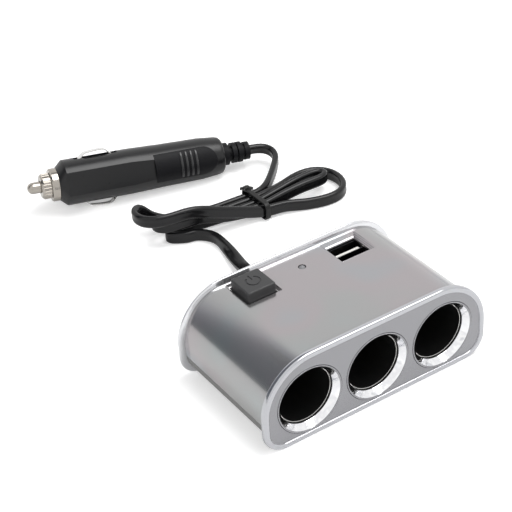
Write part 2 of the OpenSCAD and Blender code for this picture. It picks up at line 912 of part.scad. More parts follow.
// swept tubes: a list of rings, every ring a list of points
function unit(v) = v / norm(v);
function tangent(p, i) =
    unit(p[min(i + 1, len(p) - 1)] - p[max(i - 1, 0)]);
function spot(p) = [p[0], p[1], p[2]];

function flat_ring(c, t, roll, section) =
    let (side = unit(cross([0, 0, 1], t)), up = cross(t, side),
        wide = cos(roll) * up + sin(roll) * side,
        thin = cos(roll) * side - sin(roll) * up)
    [for (q = section) c + q[0] * cable_w * wide + q[1] * cable_t * thin];

function flat_rings(path, section) =
    let (pts = [for (p = path) spot(p)])
    [for (i = [0:len(path) - 1]) flat_ring(pts[i], tangent(pts, i), path[i][3], section)];

function round_rings(pts, r, sides) =
    [for (i = [0:len(pts) - 1])
        let (t = tangent(pts, i),
            ref = abs(t[2]) > 0.9 ? [1, 0, 0] : [0, 0, 1],
            side = unit(cross(ref, t)), up = cross(t, side))
        [for (k = [0:sides - 1])
            pts[i] + r * (cos(360 * k / sides) * side + sin(360 * k / sides) * up)]];

module sweep(rings) {
    n = len(rings[0]);
    m = len(rings);
    points = [for (r = rings, p = r) p];
    walls = [for (i = [0:m - 2], k = [0:n - 1])
        let (a = i * n + k, b = i * n + (k + 1) % n)
        each [[a, b, a + n], [b, b + n, a + n]]];
    near_end = [[for (k = [n - 1:-1:0]) k]];
    far_end = [[for (k = [0:n - 1]) (m - 1) * n + k]];
    polyhedron(points, concat(walls, near_end, far_end));
}

hank_section = [[0.5, 0], [0.25, 0.5], [-0.25, 0.5], [-0.5, 0], [-0.25, -0.5], [0.25, -0.5]];
lead_section = [[0.5, 0.18], [0.3, 0.5], [-0.3, 0.5], [-0.5, 0.18],
    [-0.5, -0.18], [-0.3, -0.5], [0.3, -0.5], [0.5, -0.18]];

// a smooth step from 0 to 1: it starts at span[0] and takes span[1]
function climb(x, span) =
    let (t = min(max((x - span[0]) / span[1], 0), 1)) t * t * (3 - 2 * t);

// one centre point of the hank; s counts turns
function hank_point(s) =
    let (k = min(floor(2 * s + 0.0001), len(half_turns) - 1),
        h = half_turns[k], a = 180 * (2 * s - k),
        r = h[1] * (sin(a) + h[7] * sin(3 * a)) / (1 - h[7]),
        mid = (h[2] + h[3]) / 2 * strand_pitch,
        half = (h[2] - h[3]) / 2 * strand_pitch,
        belly = cos(a) > 0 ? h[4] : h[5],
        u = h[0] * r,
        v = mid + half * cos(a) - h[0] * belly * cos(a) * sin(a) * sin(a),
        outward = -h[0] * cos(a) > 0,
        lift = h[6] * (k == wrap_turn ? climb(r, wrap_climb)
            : outward ? climb(r, h[1] * far_climb_shares)
            : climb(r, near_climb)),
        ground = hank_base * (1 - climb(abs(u), base_climb)),
        spine = lean * u + bend * (sqrt(u * u + bend_r * bend_r) - bend_r))
    [tie_xy[0] + u, tie_xy[1] + spine + v, ground + cable_w / 2 + lift];

hank_line = [for (i = [0:hank_rings]) hank_point(i / turn_rings)];
hank_head = hank_line[0] + [straight, 0, 0];
hank_tail = hank_line[hank_rings]
    + straight * unit(hank_line[hank_rings] - hank_line[hank_rings - 1]);
hank_pts = concat([hank_head], hank_line, [hank_tail]);

// least gap between strands: sideways or up and down, whichever is larger, on fine points
function fine(p, n) = [for (i = [0:len(p) - 2], k = [0:n - 1]) p[i] + (p[i + 1] - p[i]) * k / n];
fine_n = 5;
fine_pts = fine(hank_line, fine_n);
skip = 7 * fine_n;
hank_gap = min([for (i = [0:len(fine_pts) - skip - 2], j = [i + skip + 1:len(fine_pts) - 1])
    let (d = fine_pts[j] - fine_pts[i])
    max(sqrt(d[0] * d[0] + d[1] * d[1]) - cable_t, abs(d[2]) - cable_w)]);
function run(p) = len(p) < 2 ? 0 : [for (i = 0, s = 0; i < len(p); i = i + 1,
    s = i < len(p) ? s + norm(p[i] - p[i - 1]) : s) s][len(p) - 1];

module cord_hank() {
    echo(hank_gap = hank_gap, hank_length = run(hank_pts));
    color("#19191b") sweep(flat_rings([for (p = hank_pts) [p[0], p[1], p[2], 0]], hank_section));
}

function behind_box(path) = [for (p = path) p + [0, y_rear, 0, 0]];

tail_dir = unit(hank_tail - hank_pts[len(hank_pts) - 2]);
lead_end_a = hank_tail + straight * tail_dir;
box_lead_path = concat(behind_box(box_lead),
    [concat(lead_end_a, [0]), concat(hank_tail, [0])]);

module cord_box_lead() {
    echo(box_lead_length = run([for (p = box_lead_path) spot(p)]));
    color("#19191b") sweep(flat_rings(box_lead_path, lead_section));
}

// plug frame in the scene
function plug_dir() = [cos(plug_heading) * cos(plug_tilt), sin(plug_heading) * cos(plug_tilt),
    -sin(plug_tilt)];
boot_roll = 25;
boot_end = plug_origin + boot_x1 * plug_dir();
boot_out = boot_end + straight * plug_dir();
plug_lead_path = concat(
    [concat(boot_end, [boot_roll]), concat(boot_out, [boot_roll])], behind_box(plug_lead),
    [concat(hank_head + [straight, 0, 0], [0]), concat(hank_head, [0])]);

module cord_plug_lead() {
    echo(plug_lead_length = run([for (p = plug_lead_path) spot(p)]));
    color("#19191b") sweep(flat_rings(plug_lead_path, lead_section));
}

module hank_tie() {
    corner = 1.6;
    knot = [5.4, 4, 2.4];
    knot_over = 1.2;
    knot_sink = 0.4;
    knot_y = tie_xy[1] + tie_half - knot[1] + knot_over;
    color("#151517") {
        translate([tie_xy[0] + tie_w / 2, 0, 0]) rotate([90, 0, -90]) linear_extrude(tie_w)
            difference() {
                tie_outline(0, corner);
                tie_outline(tie_t, corner - tie_t);
            }
        translate([tie_xy[0] - knot[0] / 2, knot_y, tie_top - knot_sink]) cube(knot);
    }
}

module tie_outline(inset, r) {
    y0 = -(tie_xy[1] + tie_half) + inset;
    y1 = -(tie_xy[1] - tie_half) - inset;
    z1 = tie_top - inset;
    for (y = [y0 + r, y1 - r], z = [inset + r, z1 - r]) translate([y, z])
        circle(r = r, $fn = small_fn);
    translate([y0 + r, inset]) square([y1 - y0 - 2 * r, z1 - inset]);
    translate([y0, inset + r]) square([y1 - y0, z1 - inset - 2 * r]);
}

// leads inside the box: each way starts at zero and is stretched to end at its joint
wire_r = 0.9;
wire_side = 1.5;
wire_in = 4.1;
terminal_out = 3.9;
terminal_drop = 3;
negative_end_x = 3.2;
terminal_mid_z = switch_top - switch_h - terminal_drop;
feed_way = [[0, 0, 0], [-0.3, -1, 0], [-2.1, -3.4, -0.8], [-7.5, -5.4, -1.4],
    [-11.9, -6.5, -1], [-14.7, -6.7, 0.2], [-15.9, -6.7, 1]];
switched_way = [[0, 0, 0], [-1.2, 0, -0.4], [-3, 0.3, -1.8], [-5, 0.3, -1.6],
    [-5.9, 0, -0.3], [-5.5, -0.8, 0.8], [-4.7, -2.1, 1.2], [-4.3, -3.2, 1.2],
    [-4.3, -4.25, 1.2]];
negative_way = [[0, 0, 0], [0.2, -1, 0.1], [0.4, -4, 1.6], [0.7, -7, 5],
    [1.1, -9, 9], [1.5, -10.2, 11.6], [1.7, -10.8, 13.4]];

function lay(a, b, way) =
    let (n = len(way) - 1, rest = b - a - way[n])
    [for (i = [0:n]) a + way[i] + rest * i / n];

feed_pts = lay([-wire_side, y_rear - wire_in, slot_z],
    [terminal_out - top_row_x, top_row_y, terminal_mid_z], feed_way);
switched_pts = lay([-terminal_out - top_row_x, top_row_y, terminal_mid_z],
    [-socket_pitch, bus_y1 + tail_t + liner_gap, axis_z], switched_way);
negative_pts = lay([wire_side, y_rear - wire_in, slot_z],
    [negative_end_x, bus_y1 + wire_r, tab_z], negative_way);

module wire(pts, shade) {
    color(shade) sweep(round_rings(pts, wire_r, 8));
}

module wire_feed() {
    wire(feed_pts, "#a02622");
}

module wire_switched() {
    wire(switched_pts, "#a02622");
}

module wire_negative() {
    wire(negative_pts, "#1d1d1f");
}

// plug, drawn along X from the tip to the cable, contacts along Z
module plug_frame() {
    translate(plug_origin) rotate([0, plug_tilt, plug_heading]) rotate([plug_roll, 0, 0])
        children();
}

module x_rod(r, x0, x1, fn = round_fn) {
    translate([x0, 0, 0]) rotate([0, 90, 0]) cylinder(r = r, h = x1 - x0, $fn = fn);
}

module x_cone(ra, rb, x0, x1) {
    translate([x0, 0, 0]) rotate([0, 90, 0]) cylinder(r1 = ra, r2 = rb, h = x1 - x0,
        $fn = round_fn);
}

module plug_solid(grow) {
    rotate([0, 90, 0]) rotate_extrude($fn = round_fn)
        polygon(concat([[0, plug_profile[0][0]]],
            [for (p = plug_profile) [p[1] + grow, p[0]]], [[0, shell_x1]]));
}

module pad_prism(grow) {
    r = pad_w / 2 + grow;
    x0 = pad_x0 - grow;
    xc = pad_x1 - pad_w / 2;
    rotate([90, 0, 0]) {
        translate([x0, -r, 0]) cube([xc - x0, 2 * r, 2 * plug_r]);
        translate([xc, 0, 0]) cylinder(r = r, h = 2 * plug_r, $fn = round_fn);
    }
}

module plug_pad() {
    color("#101012") {
        intersection() {
            difference() {
                plug_solid(pad_proud);
                plug_solid(-pad_t);
            }
            pad_prism(0);
        }
        intersection() {
            difference() {
                plug_solid(pad_proud + pad_rib_h);
                plug_solid(-pad_t / 2);
            }
            pad_prism(-pad_rib_in);
            for (i = [0:pad_ribs - 1])
                translate([pad_rib_x + i * pad_rib_pitch, -2 * plug_r, -plug_r])
                    cube([pad_rib_w, 2 * plug_r, 2 * plug_r]);
        }
    }
}

module plug_shell() {
    slot_w = contact_w + 2 * clear;
    pocket_x0 = contact_x0 - contact_pocket_room;
    pocket_len = contact_x1 - contact_x0 + 2 * contact_pocket_room;
    bar = [5, 0.2, 0.8];
    bar_in = 1;
    difference() {
        plug_solid(0);
        for (s = [-1, 1]) {
            translate([flat_x0, s > 0 ? plug_flat : -plug_flat - plug_r, -2 * plug_r])
                cube([flat_x1 - flat_x0, plug_r, 4 * plug_r]);
            translate([pocket_x0, -slot_w / 2,
                s > 0 ? contact_pocket_z : -contact_pocket_z - plug_r])
                cube([pocket_len, slot_w, plug_r]);
            translate([core_x0 - wire_way_len, 0, s * wire_way_z])
                x_rod(wire_way_r, -cut, wire_way_len + 2 * cut, small_fn);
            rotate([s > 0 ? 0 : 180, 0, 0]) difference() {
                pad_prism(fit);
                plug_solid(-pad_t - fit);
            }
        }
        x_rod(fuse_bore_r, collar_x1 - cut, cup_x0);
        x_rod(sleeve_r + fit, collar_x1 - cut, sleeve_x1 + clear);
        x_rod(cup_bore_r, cup_x0 - fit, cup_x1 + fit);
        x_rod(core_r, core_x0, core_x1);
        x_rod(boot_flange_r + boot_seat_gap, core_x1 - cut, core_x1 + boot_seat_t);
        x_rod(boot_core_r + fit, core_x1, shell_x1 + cut);
        translate([plug_screw_x, 0, 0]) {
            y_rod(pilot_r, -plug_flat + plug_screw_wall, 2 * plug_r, small_fn);
            y_rod(plug_screw_head_r + fit, plug_flat - plug_screw_head_t - cut, plug_r, small_fn);
        }
        translate([flat_x1 - bar_in - bar[0], -plug_flat - cut, -bar[2] / 2])
            cube([bar[0], cut + bar[1], bar[2]]);
    }
}

module plug_half(side) {
    half_gap = 0.05;
    color("#131315") plug_frame() intersection() {
        plug_shell();
        translate([0, side > 0 ? half_gap : -half_gap - 2 * plug_r, -2 * plug_r])
            cube([shell_x1 + plug_r, 2 * plug_r, 4 * plug_r]);
    }
}

module plug_screw() {
    len = 13;
    slot_w = 0.6;
    slot_h = 0.7;
    slot_len = 2 * plug_screw_head_r * plug_slot_share;
    color("#8f8f92") plug_frame() translate([plug_screw_x, plug_flat - cut, 0])
        difference() {
            union() {
                y_rod(plug_screw_head_r, -plug_screw_head_t, plug_screw_head_t, small_fn);
                y_rod(screw_r, -plug_screw_head_t - len, len + fit, small_fn);
            }
            translate([-slot_w / 2, -slot_h, -slot_len / 2])
                cube([slot_w, slot_h + cut, slot_len]);
            translate([-slot_len / 2, -slot_h, -slot_w / 2])
                cube([slot_len, slot_h + cut, slot_w]);
        }
}

module plug_collar() {
    edge = 0.5;
    color("#b6b7b9") plug_frame() difference() {
        union() {
            x_rod(spigot_r, nut_x0 + nut_wall + clear, collar_x0 + cut);
            x_cone(collar_r - edge, collar_r, collar_x0, collar_x0 + edge);
            x_rod(collar_r, collar_x0 + edge, collar_x1 - fit);
            x_rod(sleeve_r, collar_x1 - edge, sleeve_x1);
        }
        x_rod(collar_bore_r, 0, sleeve_x1 + cut);
    }
}

module plug_cap_nut() {
    edge = 0.9;
    knurl_share = 0.3;
    color("#b6b7b9") plug_frame() difference() {
        union() {
            x_cone(nut_r - edge, nut_r, nut_x0, nut_x0 + edge);
            x_rod(nut_r, nut_x0 + edge, nut_x1);
        }
        x_rod(pin_r + clear, 0, nut_x1 + cut);
        x_rod(nut_bore_r, nut_x0 + nut_wall, nut_x1 + cut);
        for (i = [0:knurls - 1]) rotate([360 * i / knurls, 0, 0])
            translate([0, 0, nut_r + knurl_r * knurl_share])
                x_rod(knurl_r, nut_x0 - cut, nut_x1 + cut, fine_fn);
    }
}

module plug_pin() {
    color("#c9c9c6") plug_frame() {
        translate([pin_r, 0, 0]) sphere(r = pin_r, $fn = round_fn);
        x_rod(pin_r, pin_r, pin_flange_x + cut);
        x_rod(pin_flange_r, pin_flange_x, pin_flange_x + pin_flange_t - fit);
    }
}

module plug_fuse() {
    cap_len = 5.6;
    cap_t = 0.3;
    glass_r = fuse_r - cap_t;
    color("#d5dadb") plug_frame() {
        x_rod(fuse_r, fuse_x0, fuse_x0 + cap_len, small_fn);
        x_rod(glass_r, fuse_x0 + cap_len - cut, fuse_x1 - cap_len + cut, small_fn);
        x_rod(fuse_r, fuse_x1 - cap_len, fuse_x1, small_fn);
    }
}

module plug_pin_spring() {
    turns = 5;
    color("#c9c9c6") plug_frame() translate([fuse_x1 + fit / 2, 0, 0]) rotate([0, 90, 0])
        coil(pin_spring_r, pin_spring_wire_r, pin_spring_x1 - fuse_x1, turns);
}

module plug_spring_cup() {
    base = 0.7;
    color("#c8a35a") plug_frame() difference() {
        x_rod(cup_r, cup_x0, cup_x1);
        x_rod(cup_in_r, cup_x0 - cut, cup_x1 - base);
    }
}

// one side contact: an arched strip with a foot at its front end
module plug_contact(side) {
    half = (contact_x1 - contact_x0) / 2;
    rise = contact_reach - contact_foot_z;
    arc_r = (half * half + rise * rise) / (2 * rise);
    mid_x = (contact_x0 + contact_x1) / 2;
    foot_h = 1.8;
    color("#c9c9c6") plug_frame() rotate([side > 0 ? 0 : 180, 0, 0]) {
        intersection() {
            translate([mid_x, 0, contact_reach - arc_r]) difference() {
                y_rod(arc_r, -contact_w / 2, contact_w);
                y_rod(arc_r - contact_t, -contact_w, 2 * contact_w);
            }
            translate([contact_x0, -contact_w, contact_foot_z])
                cube([2 * half, 2 * contact_w, 2 * rise]);
        }
        translate([contact_x0, -contact_w / 2, contact_foot_z - foot_h])
            cube([contact_t, contact_w, foot_h + contact_t]);
    }
}

module plug_strain_relief() {
    color("#151517") plug_frame() difference() {
        union() {
            x_rod(boot_flange_r, core_x1 + fit, core_x1 + boot_flange_t);
            x_rod(boot_core_r, core_x1 + fit, boot_x1);
            for (r = boot_rings) x_rod(r[2], r[0], r[1]);
        }
        x_rod(wire_way_r, core_x1 - cut, boot_x1 - boot_end_t, small_fn);
    }
}

upper_shell();
lower_tray();
front_bezel();
rear_bezel();
at_socket(0) trim_ring();  // trim_ring_1
at_socket(1) trim_ring();  // trim_ring_2
at_socket(2) trim_ring();  // trim_ring_3
at_socket(0) socket_barrel();  // socket_barrel_1
at_socket(1) socket_barrel();  // socket_barrel_2
at_socket(2) socket_barrel();  // socket_barrel_3
at_socket(0) socket_liner();  // socket_liner_1
at_socket(1) socket_liner();  // socket_liner_2
at_socket(2) socket_liner();  // socket_liner_3
at_socket(0) insulator_disc();  // insulator_disc_1
at_socket(1) insulator_disc();  // insulator_disc_2
at_socket(2) insulator_disc();  // insulator_disc_3
at_socket(0) centre_contact();  // centre_contact_1
at_socket(1) centre_contact();  // centre_contact_2
at_socket(2) centre_contact();  // centre_contact_3
positive_bus();
negative_bus();
power_button();
switch_body();
switch_plunger();
switch_spring();
switch_terminals();
usb_shell();
usb_tongue();
usb_contacts();
charger_board();
board_inductor();
board_capacitors();
board_chip();
status_led();
board_screws();
base_screws();
cable_grommet();
wire_feed();
wire_switched();
wire_negative();
cord_box_lead();
cord_hank();
cord_plug_lead();
hank_tie();
plug_strain_relief();
plug_half(-1);  // plug_half_front
plug_half(1);  // plug_half_rear
plug_frame() plug_pad();  // plug_grip_front
plug_frame() rotate([180, 0, 0]) plug_pad();  // plug_grip_rear
plug_collar();
plug_cap_nut();
plug_pin();
plug_fuse();
plug_pin_spring();
plug_spring_cup();
plug_contact(1);  // plug_contact_upper
plug_contact(-1);  // plug_contact_lower
plug_screw();
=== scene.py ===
# %% [markdown]
# # A car power socket splitter
#
# The object is a silver box with three round power sockets, a push button and a USB
# window. A flat twin cable leaves its rear face, lies in a tied hank and ends in a plug
# for a car's lighter socket. Every measured solid of it is already in the frame, so this
# lesson only dresses it: it replaces the pieces whose edges, curves and folds the eye
# rests on, and gives every other piece its finish. Lengths are written in millimetres
# and turned into metres once, because the frame is in metres.

import math
from collections import Counter

import bmesh
import bpy
from mathutils import Matrix, Vector, geometry


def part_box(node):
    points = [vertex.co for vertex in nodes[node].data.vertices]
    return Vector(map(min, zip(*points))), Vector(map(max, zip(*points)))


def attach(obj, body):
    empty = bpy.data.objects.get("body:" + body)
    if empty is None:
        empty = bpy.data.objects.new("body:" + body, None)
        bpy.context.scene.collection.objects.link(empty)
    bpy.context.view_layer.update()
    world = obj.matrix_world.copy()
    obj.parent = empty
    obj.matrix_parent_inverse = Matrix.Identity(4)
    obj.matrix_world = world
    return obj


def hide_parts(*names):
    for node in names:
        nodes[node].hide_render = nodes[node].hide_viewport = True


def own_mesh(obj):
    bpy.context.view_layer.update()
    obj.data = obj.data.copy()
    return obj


MM = 0.001
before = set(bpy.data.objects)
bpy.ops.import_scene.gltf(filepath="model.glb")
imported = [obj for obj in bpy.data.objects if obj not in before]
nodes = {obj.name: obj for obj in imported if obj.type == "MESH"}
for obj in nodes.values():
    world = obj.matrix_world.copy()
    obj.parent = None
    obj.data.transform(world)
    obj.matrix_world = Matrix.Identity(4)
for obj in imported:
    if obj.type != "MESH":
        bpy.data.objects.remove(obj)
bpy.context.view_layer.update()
print("pieces in the frame:", len(nodes))

# %% [markdown]
# ## The camera
#
# A photograph is matched by standing where its camera stood. The view direction comes
# from three angles, and the three axes of the camera are built from them by cross
# products. A helper that aims a camera at a point would lose the small tilt of the
# horizon, so the axes are written straight into the camera's matrix.

# %% The three axes of the view
CAMERA_AZIMUTH = math.radians(-31.653)
CAMERA_HEIGHT = math.radians(34.492)
CAMERA_ROLL = math.radians(-4.032)


def camera_axes(azimuth, height, roll):
    """Right, up and backward directions of a camera."""
    back = Vector((math.sin(azimuth) * math.cos(height),
                   -math.cos(azimuth) * math.cos(height), math.sin(height)))
    right = Vector((0, 0, 1)).cross(back).normalized()
    up = back.cross(right)
    return (math.cos(roll) * right + math.sin(roll) * up,
            math.cos(roll) * up - math.sin(roll) * right, back)


view_axes = camera_axes(CAMERA_AZIMUTH, CAMERA_HEIGHT, CAMERA_ROLL)
print("camera looks along", [round(-v, 3) for v in view_axes[2]])

# %% Place the camera
CAMERA_PLACE = Vector((-257.88, -369.3, 359.92)) * MM
CAMERA_LENS, SENSOR = 108.18, 36.0
CAMERA_FAR = 20

camera_data = bpy.data.cameras.new("studio_camera")
camera_data.lens = CAMERA_LENS
camera_data.sensor_width = SENSOR
camera_data.clip_end = CAMERA_FAR
camera = bpy.data.objects.new("studio_camera", camera_data)
bpy.context.scene.collection.objects.link(camera)
camera.matrix_world = (Matrix.Translation(CAMERA_PLACE)
                       @ Matrix(view_axes).transposed().to_4x4())
bpy.context.scene.camera = camera
print("camera stands", round(CAMERA_PLACE.length, 3), "m from the middle of the frame")

# %% [markdown]
# ## The route of the cable
#
# The cable is one length of flat twin lead. It leaves the box lying flat, drops to the
# table, stands up on its edge into the hank, runs through five half turns held by a tie,
# and climbs to the plug. A curve drawn by hand could follow the picture, but a hank looks
# right only when its strands keep their distance, so its half turns come from a formula:
# each has its own reach, its first and last place in the tie, its bellies and its lift.

# %% Stretches outside the hank: x, y, z and roll in millimetres and degrees
CABLE_W, CABLE_T = 5.4, 2.7
BOX_LEAD = [
    (0, 24.6, 14, -90), (0, 30, 14, -90), (0, 36, 14, -90), (0.4, 42, 13.4, -90),
    (1.2, 48, 12, -90), (2.2, 54, 9.8, -88), (3.4, 60, 7.2, -85), (4.8, 66, 4.9, -80),
    (6.2, 72, 3.4, -70), (7.4, 78, 2.9, -54), (8.4, 84, 2.8, -30), (9.1, 89.5, 2.7, -10),
    (9.4, 93.5, 2.7, 0), (8.4, 97.5, 2.7, 0), (5.6, 100.9, 2.7, 0), (2.2, 103.2, 2.7, 0)]
PLUG_LEAD = [
    (62, 137.1, 7, 20), (64, 133.4, 6.4, 10), (63.2, 128.9, 5.7, 0),
    (59.6, 124.4, 5.1, 0), (54.6, 119.4, 4.6, 0), (49.4, 114.7, 4.2, 0),
    (44.8, 111.6, 4, 0)]
print("points outside the hank:", len(BOX_LEAD) + len(PLUG_LEAD))

# %% The hank: side, reach, first and last place, two bellies, lift and swell of each turn
TIE_X, TIE_Y = 36, 104
STRAND_PITCH = 3.3
HALF_TURNS = [
    (-1, 53.5, 2, -2, 8, 8, 11.8, 0.07), (1, 41, -2, 1, 24, 22, 0, -0.04),
    (-1, 46.5, 1, -1, 4, 6, 5.9, 0.07), (1, 34.5, -1, 0, 4, 5, 4.2, 0.07),
    (-1, 42.5, 0, -1.3, 3, 4.5, 0, 0.07)]
print("half turns:", len(HALF_TURNS), "farthest reach:", max(t[1] for t in HALF_TURNS))

# %% A point of the hank
LEAN, BEND, BEND_R = -0.093, 0.083, 10
HANK_BASE = 1.2
CROSSING_TURN = 3
CROSSING_CLIMB, FAR_CLIMB, NEAR_CLIMB = (4, 14), (0.7, 0.25), (8, 18)
TIE_HOLD = (6, 14)


def ease(x, start, run):
    """A smooth step from 0 at the start to 1 at the end of the run."""
    t = min(max((x - start) / run, 0), 1)
    return t * t * (3 - 2 * t)


def hank_point(s):
    """Centre of the cable after s turns of the hank.

    A half turn swings out from the tie and climbs by its lift where it crosses others.
    The tie holds all the strands a little off the table, and they share one leaning and
    slightly bent middle line.
    """
    k = min(int(2 * s + 0.0001), len(HALF_TURNS) - 1)
    side, reach, first, last, belly_a, belly_b, high, swell = HALF_TURNS[k]
    a = math.pi * (2 * s - k)
    r = reach * (math.sin(a) + swell * math.sin(3 * a)) / (1 - swell)
    middle = (first + last) / 2 * STRAND_PITCH
    half = (first - last) / 2 * STRAND_PITCH
    belly = belly_a if math.cos(a) > 0 else belly_b
    u = side * r
    v = middle + half * math.cos(a) - side * belly * math.cos(a) * math.sin(a) ** 2
    if k == CROSSING_TURN:
        lift = ease(r, *CROSSING_CLIMB)
    elif -side * math.cos(a) > 0:
        lift = ease(r / reach, *FAR_CLIMB)
    else:
        lift = ease(r, *NEAR_CLIMB)
    ground = HANK_BASE * (1 - ease(abs(u), *TIE_HOLD))
    spine = LEAN * u + BEND * (math.sqrt(u * u + BEND_R ** 2) - BEND_R)
    return Vector((TIE_X + u, TIE_Y + spine + v, ground + CABLE_W / 2 + high * lift))


print("the hank starts at", [round(v, 1) for v in hank_point(0)])

# %% The line of the hank, with a straight bit at each end
RINGS_A_TURN, HANK_RINGS = 24, 56
STRAIGHT = 3

hank_line = [hank_point(i / RINGS_A_TURN) for i in range(HANK_RINGS + 1)]
head_dir = Vector((1, 0, 0))
tail_dir = (hank_line[-1] - hank_line[-2]).normalized()
hank_head = hank_line[0] + STRAIGHT * head_dir
hank_tail = hank_line[-1] + STRAIGHT * tail_dir
hank_part = ([hank_tail + STRAIGHT * tail_dir, hank_tail] + hank_line[::-1]
             + [hank_head, hank_head + STRAIGHT * head_dir])
print("points of the hank:", len(hank_part))

# %% [markdown]
# ## Where the plug lies
#
# The plug is drawn along its own axis, from its tip to its cable, and then laid down by
# one matrix. The same matrix gives the cable the point and the direction of its end.

# %% The plug's own frame
PLUG_TIP = Vector((-42.7, 163.2, 14))
PLUG_HEADING, PLUG_TILT, PLUG_ROLL = -13.8, 3.6, -22
BOOT_END = 101

plug_turn = (Matrix.Rotation(math.radians(PLUG_HEADING), 3, "Z")
             @ Matrix.Rotation(math.radians(PLUG_TILT), 3, "Y"))
plug_dir = plug_turn @ Vector((1, 0, 0))
plug_matrix = (Matrix.Translation(PLUG_TIP * MM)
               @ (plug_turn @ Matrix.Rotation(math.radians(PLUG_ROLL), 3, "X")).to_4x4())
boot_end = PLUG_TIP + BOOT_END * plug_dir
print("the cable meets the plug at", [round(v, 1) for v in boot_end])

# %% [markdown]
# ## One smooth line through all the stretches
#
# A lead has no corners, so its points are joined by a Catmull-Rom line, which passes
# through every point. The centripetal kind is chosen because it makes no loops where the
# points come closer together. Every point carries the roll of the lead as a fourth number.

# %% Put the stretches in order, from the box to the plug
BOOT_ROLL = 25
IN_BOOT = 1.5


def with_roll(point, roll):
    return Vector((point[0], point[1], point[2], roll))


boot_part = [boot_end + along * plug_dir for along in (STRAIGHT, 0, -IN_BOOT)]
cable_points = ([Vector(p) for p in BOX_LEAD] + [with_roll(p, 0) for p in hank_part]
                + [Vector(p) for p in reversed(PLUG_LEAD)]
                + [with_roll(p, BOOT_ROLL) for p in boot_part])
print("points of the route:", len(cable_points))

# %% A smooth line through the points
FINE_STEP = 0.5


def through(points, step):
    """A centripetal Catmull-Rom line through points of four numbers."""
    ends = [2 * points[0] - points[1]] + points + [2 * points[-1] - points[-2]]
    line = []
    for p0, p1, p2, p3 in zip(ends, ends[1:], ends[2:], ends[3:]):
        ta = math.sqrt((p1 - p0).to_3d().length)
        tb = ta + math.sqrt((p2 - p1).to_3d().length)
        tc = tb + math.sqrt((p3 - p2).to_3d().length)
        count = max(1, round((p2 - p1).to_3d().length / step))
        for i in range(count):
            t = ta + (tb - ta) * i / count
            a1 = p0 * ((ta - t) / ta) + p1 * (t / ta)
            a2 = p1 * ((tb - t) / (tb - ta)) + p2 * ((t - ta) / (tb - ta))
            a3 = p2 * ((tc - t) / (tc - tb)) + p3 * ((t - tb) / (tc - tb))
            b1 = a1 * ((tb - t) / tb) + a2 * (t / tb)
            b2 = a2 * ((tc - t) / (tc - ta)) + a3 * ((t - ta) / (tc - ta))
            line.append(b1 * ((tb - t) / (tb - ta)) + b2 * ((t - ta) / (tb - ta)))
    return line + [points[-1]]


fine_line = through(cable_points, FINE_STEP)
print("points of the fine line:", len(fine_line))

# %% Points at even distances
RING_STEP = 1.5


def evenly(line, step):
    """The same line with its points one step apart."""
    lengths = [0]
    for a, b in zip(line, line[1:]):
        lengths.append(lengths[-1] + (b - a).to_3d().length)
    count = round(lengths[-1] / step)
    out, k = [], 0
    for i in range(count + 1):
        goal = lengths[-1] * i / count
        while k < len(line) - 2 and lengths[k + 1] < goal:
            k += 1
        share = (goal - lengths[k]) / (lengths[k + 1] - lengths[k])
        out.append(line[k].lerp(line[k + 1], share))
    return out


even_line = evenly(fine_line, RING_STEP)
print("rings along the cable:", len(even_line))

# %% Round off the kinks and rest the lead on the table
RELAX_TIMES = 3
TABLE_GAP = 0.05


def relax(line, times):
    """Rounds off the smallest kinks and keeps both ends."""
    for _ in range(times):
        line = (line[:2] + [0.25 * a + 0.5 * b + 0.25 * c
                            for a, b, c in zip(line[1:], line[2:], line[3:])] + line[-2:])
    return line


def above_table(point):
    """Lifts a point so far that the turned lead rests on the table."""
    half = CABLE_T / 2 + (CABLE_W - CABLE_T) / 2 * abs(math.cos(math.radians(point[3])))
    return Vector((point[0], point[1], max(point[2], half + TABLE_GAP), point[3]))


cable_line = [above_table(p) for p in relax(even_line, RELAX_TIMES)]
print("lowest point of the middle line in mm:", round(min(p[2] for p in cable_line), 2))

# %%


# %% [markdown]
# ## Finishes
#
# Moulded plastic, paint and plated steel differ in how sharp their reflections are and in
# how even they are. Each finish is one shader with a fine noise on its roughness and a
# shallow bump, so that highlights break up a little, as they do on real mouldings.
# Numbers that are the same all over the surface are written on the shader itself.

# %% Nodes and their inputs


def feed(tree, node, inputs):
    """Fills inputs of a node: a socket is linked, any other value is written in."""
    for key, value in inputs.items():
        if isinstance(value, bpy.types.NodeSocket):
            tree.links.new(value, node.inputs[key])
        else:
            node.inputs[key].default_value = value


def add_node(tree, kind, inputs=None, **settings):
    """A new node with its settings and inputs."""
    node = tree.nodes.new(kind)
    for name, value in settings.items():
        setattr(node, name, value)
    feed(tree, node, inputs or {})
    return node


def colour_ramp(tree, factor, stops, blend="LINEAR"):
    """Colours along a number from 0 to 1; a stop is a place and a colour."""
    ramp = add_node(tree, "ShaderNodeValToRGB", {"Fac": factor})
    ramp.color_ramp.interpolation = blend
    elements = ramp.color_ramp.elements
    for i, (place, colour) in enumerate(stops):
        if i > 1:
            elements.new(place)
        elements[i].position = place
        elements[i].color = (*colour, 1)
    return ramp.outputs["Color"]


print("kinds of node to choose from:",
      sum(kind.startswith("ShaderNode") for kind in dir(bpy.types)))

# %% A finish from a few numbers
CLEAR_COAT_ROUGH = 0.04
SMOOTHEST = 0.02
CLOUD_LOW, CLOUD_SPAN = 0.3, 0.4


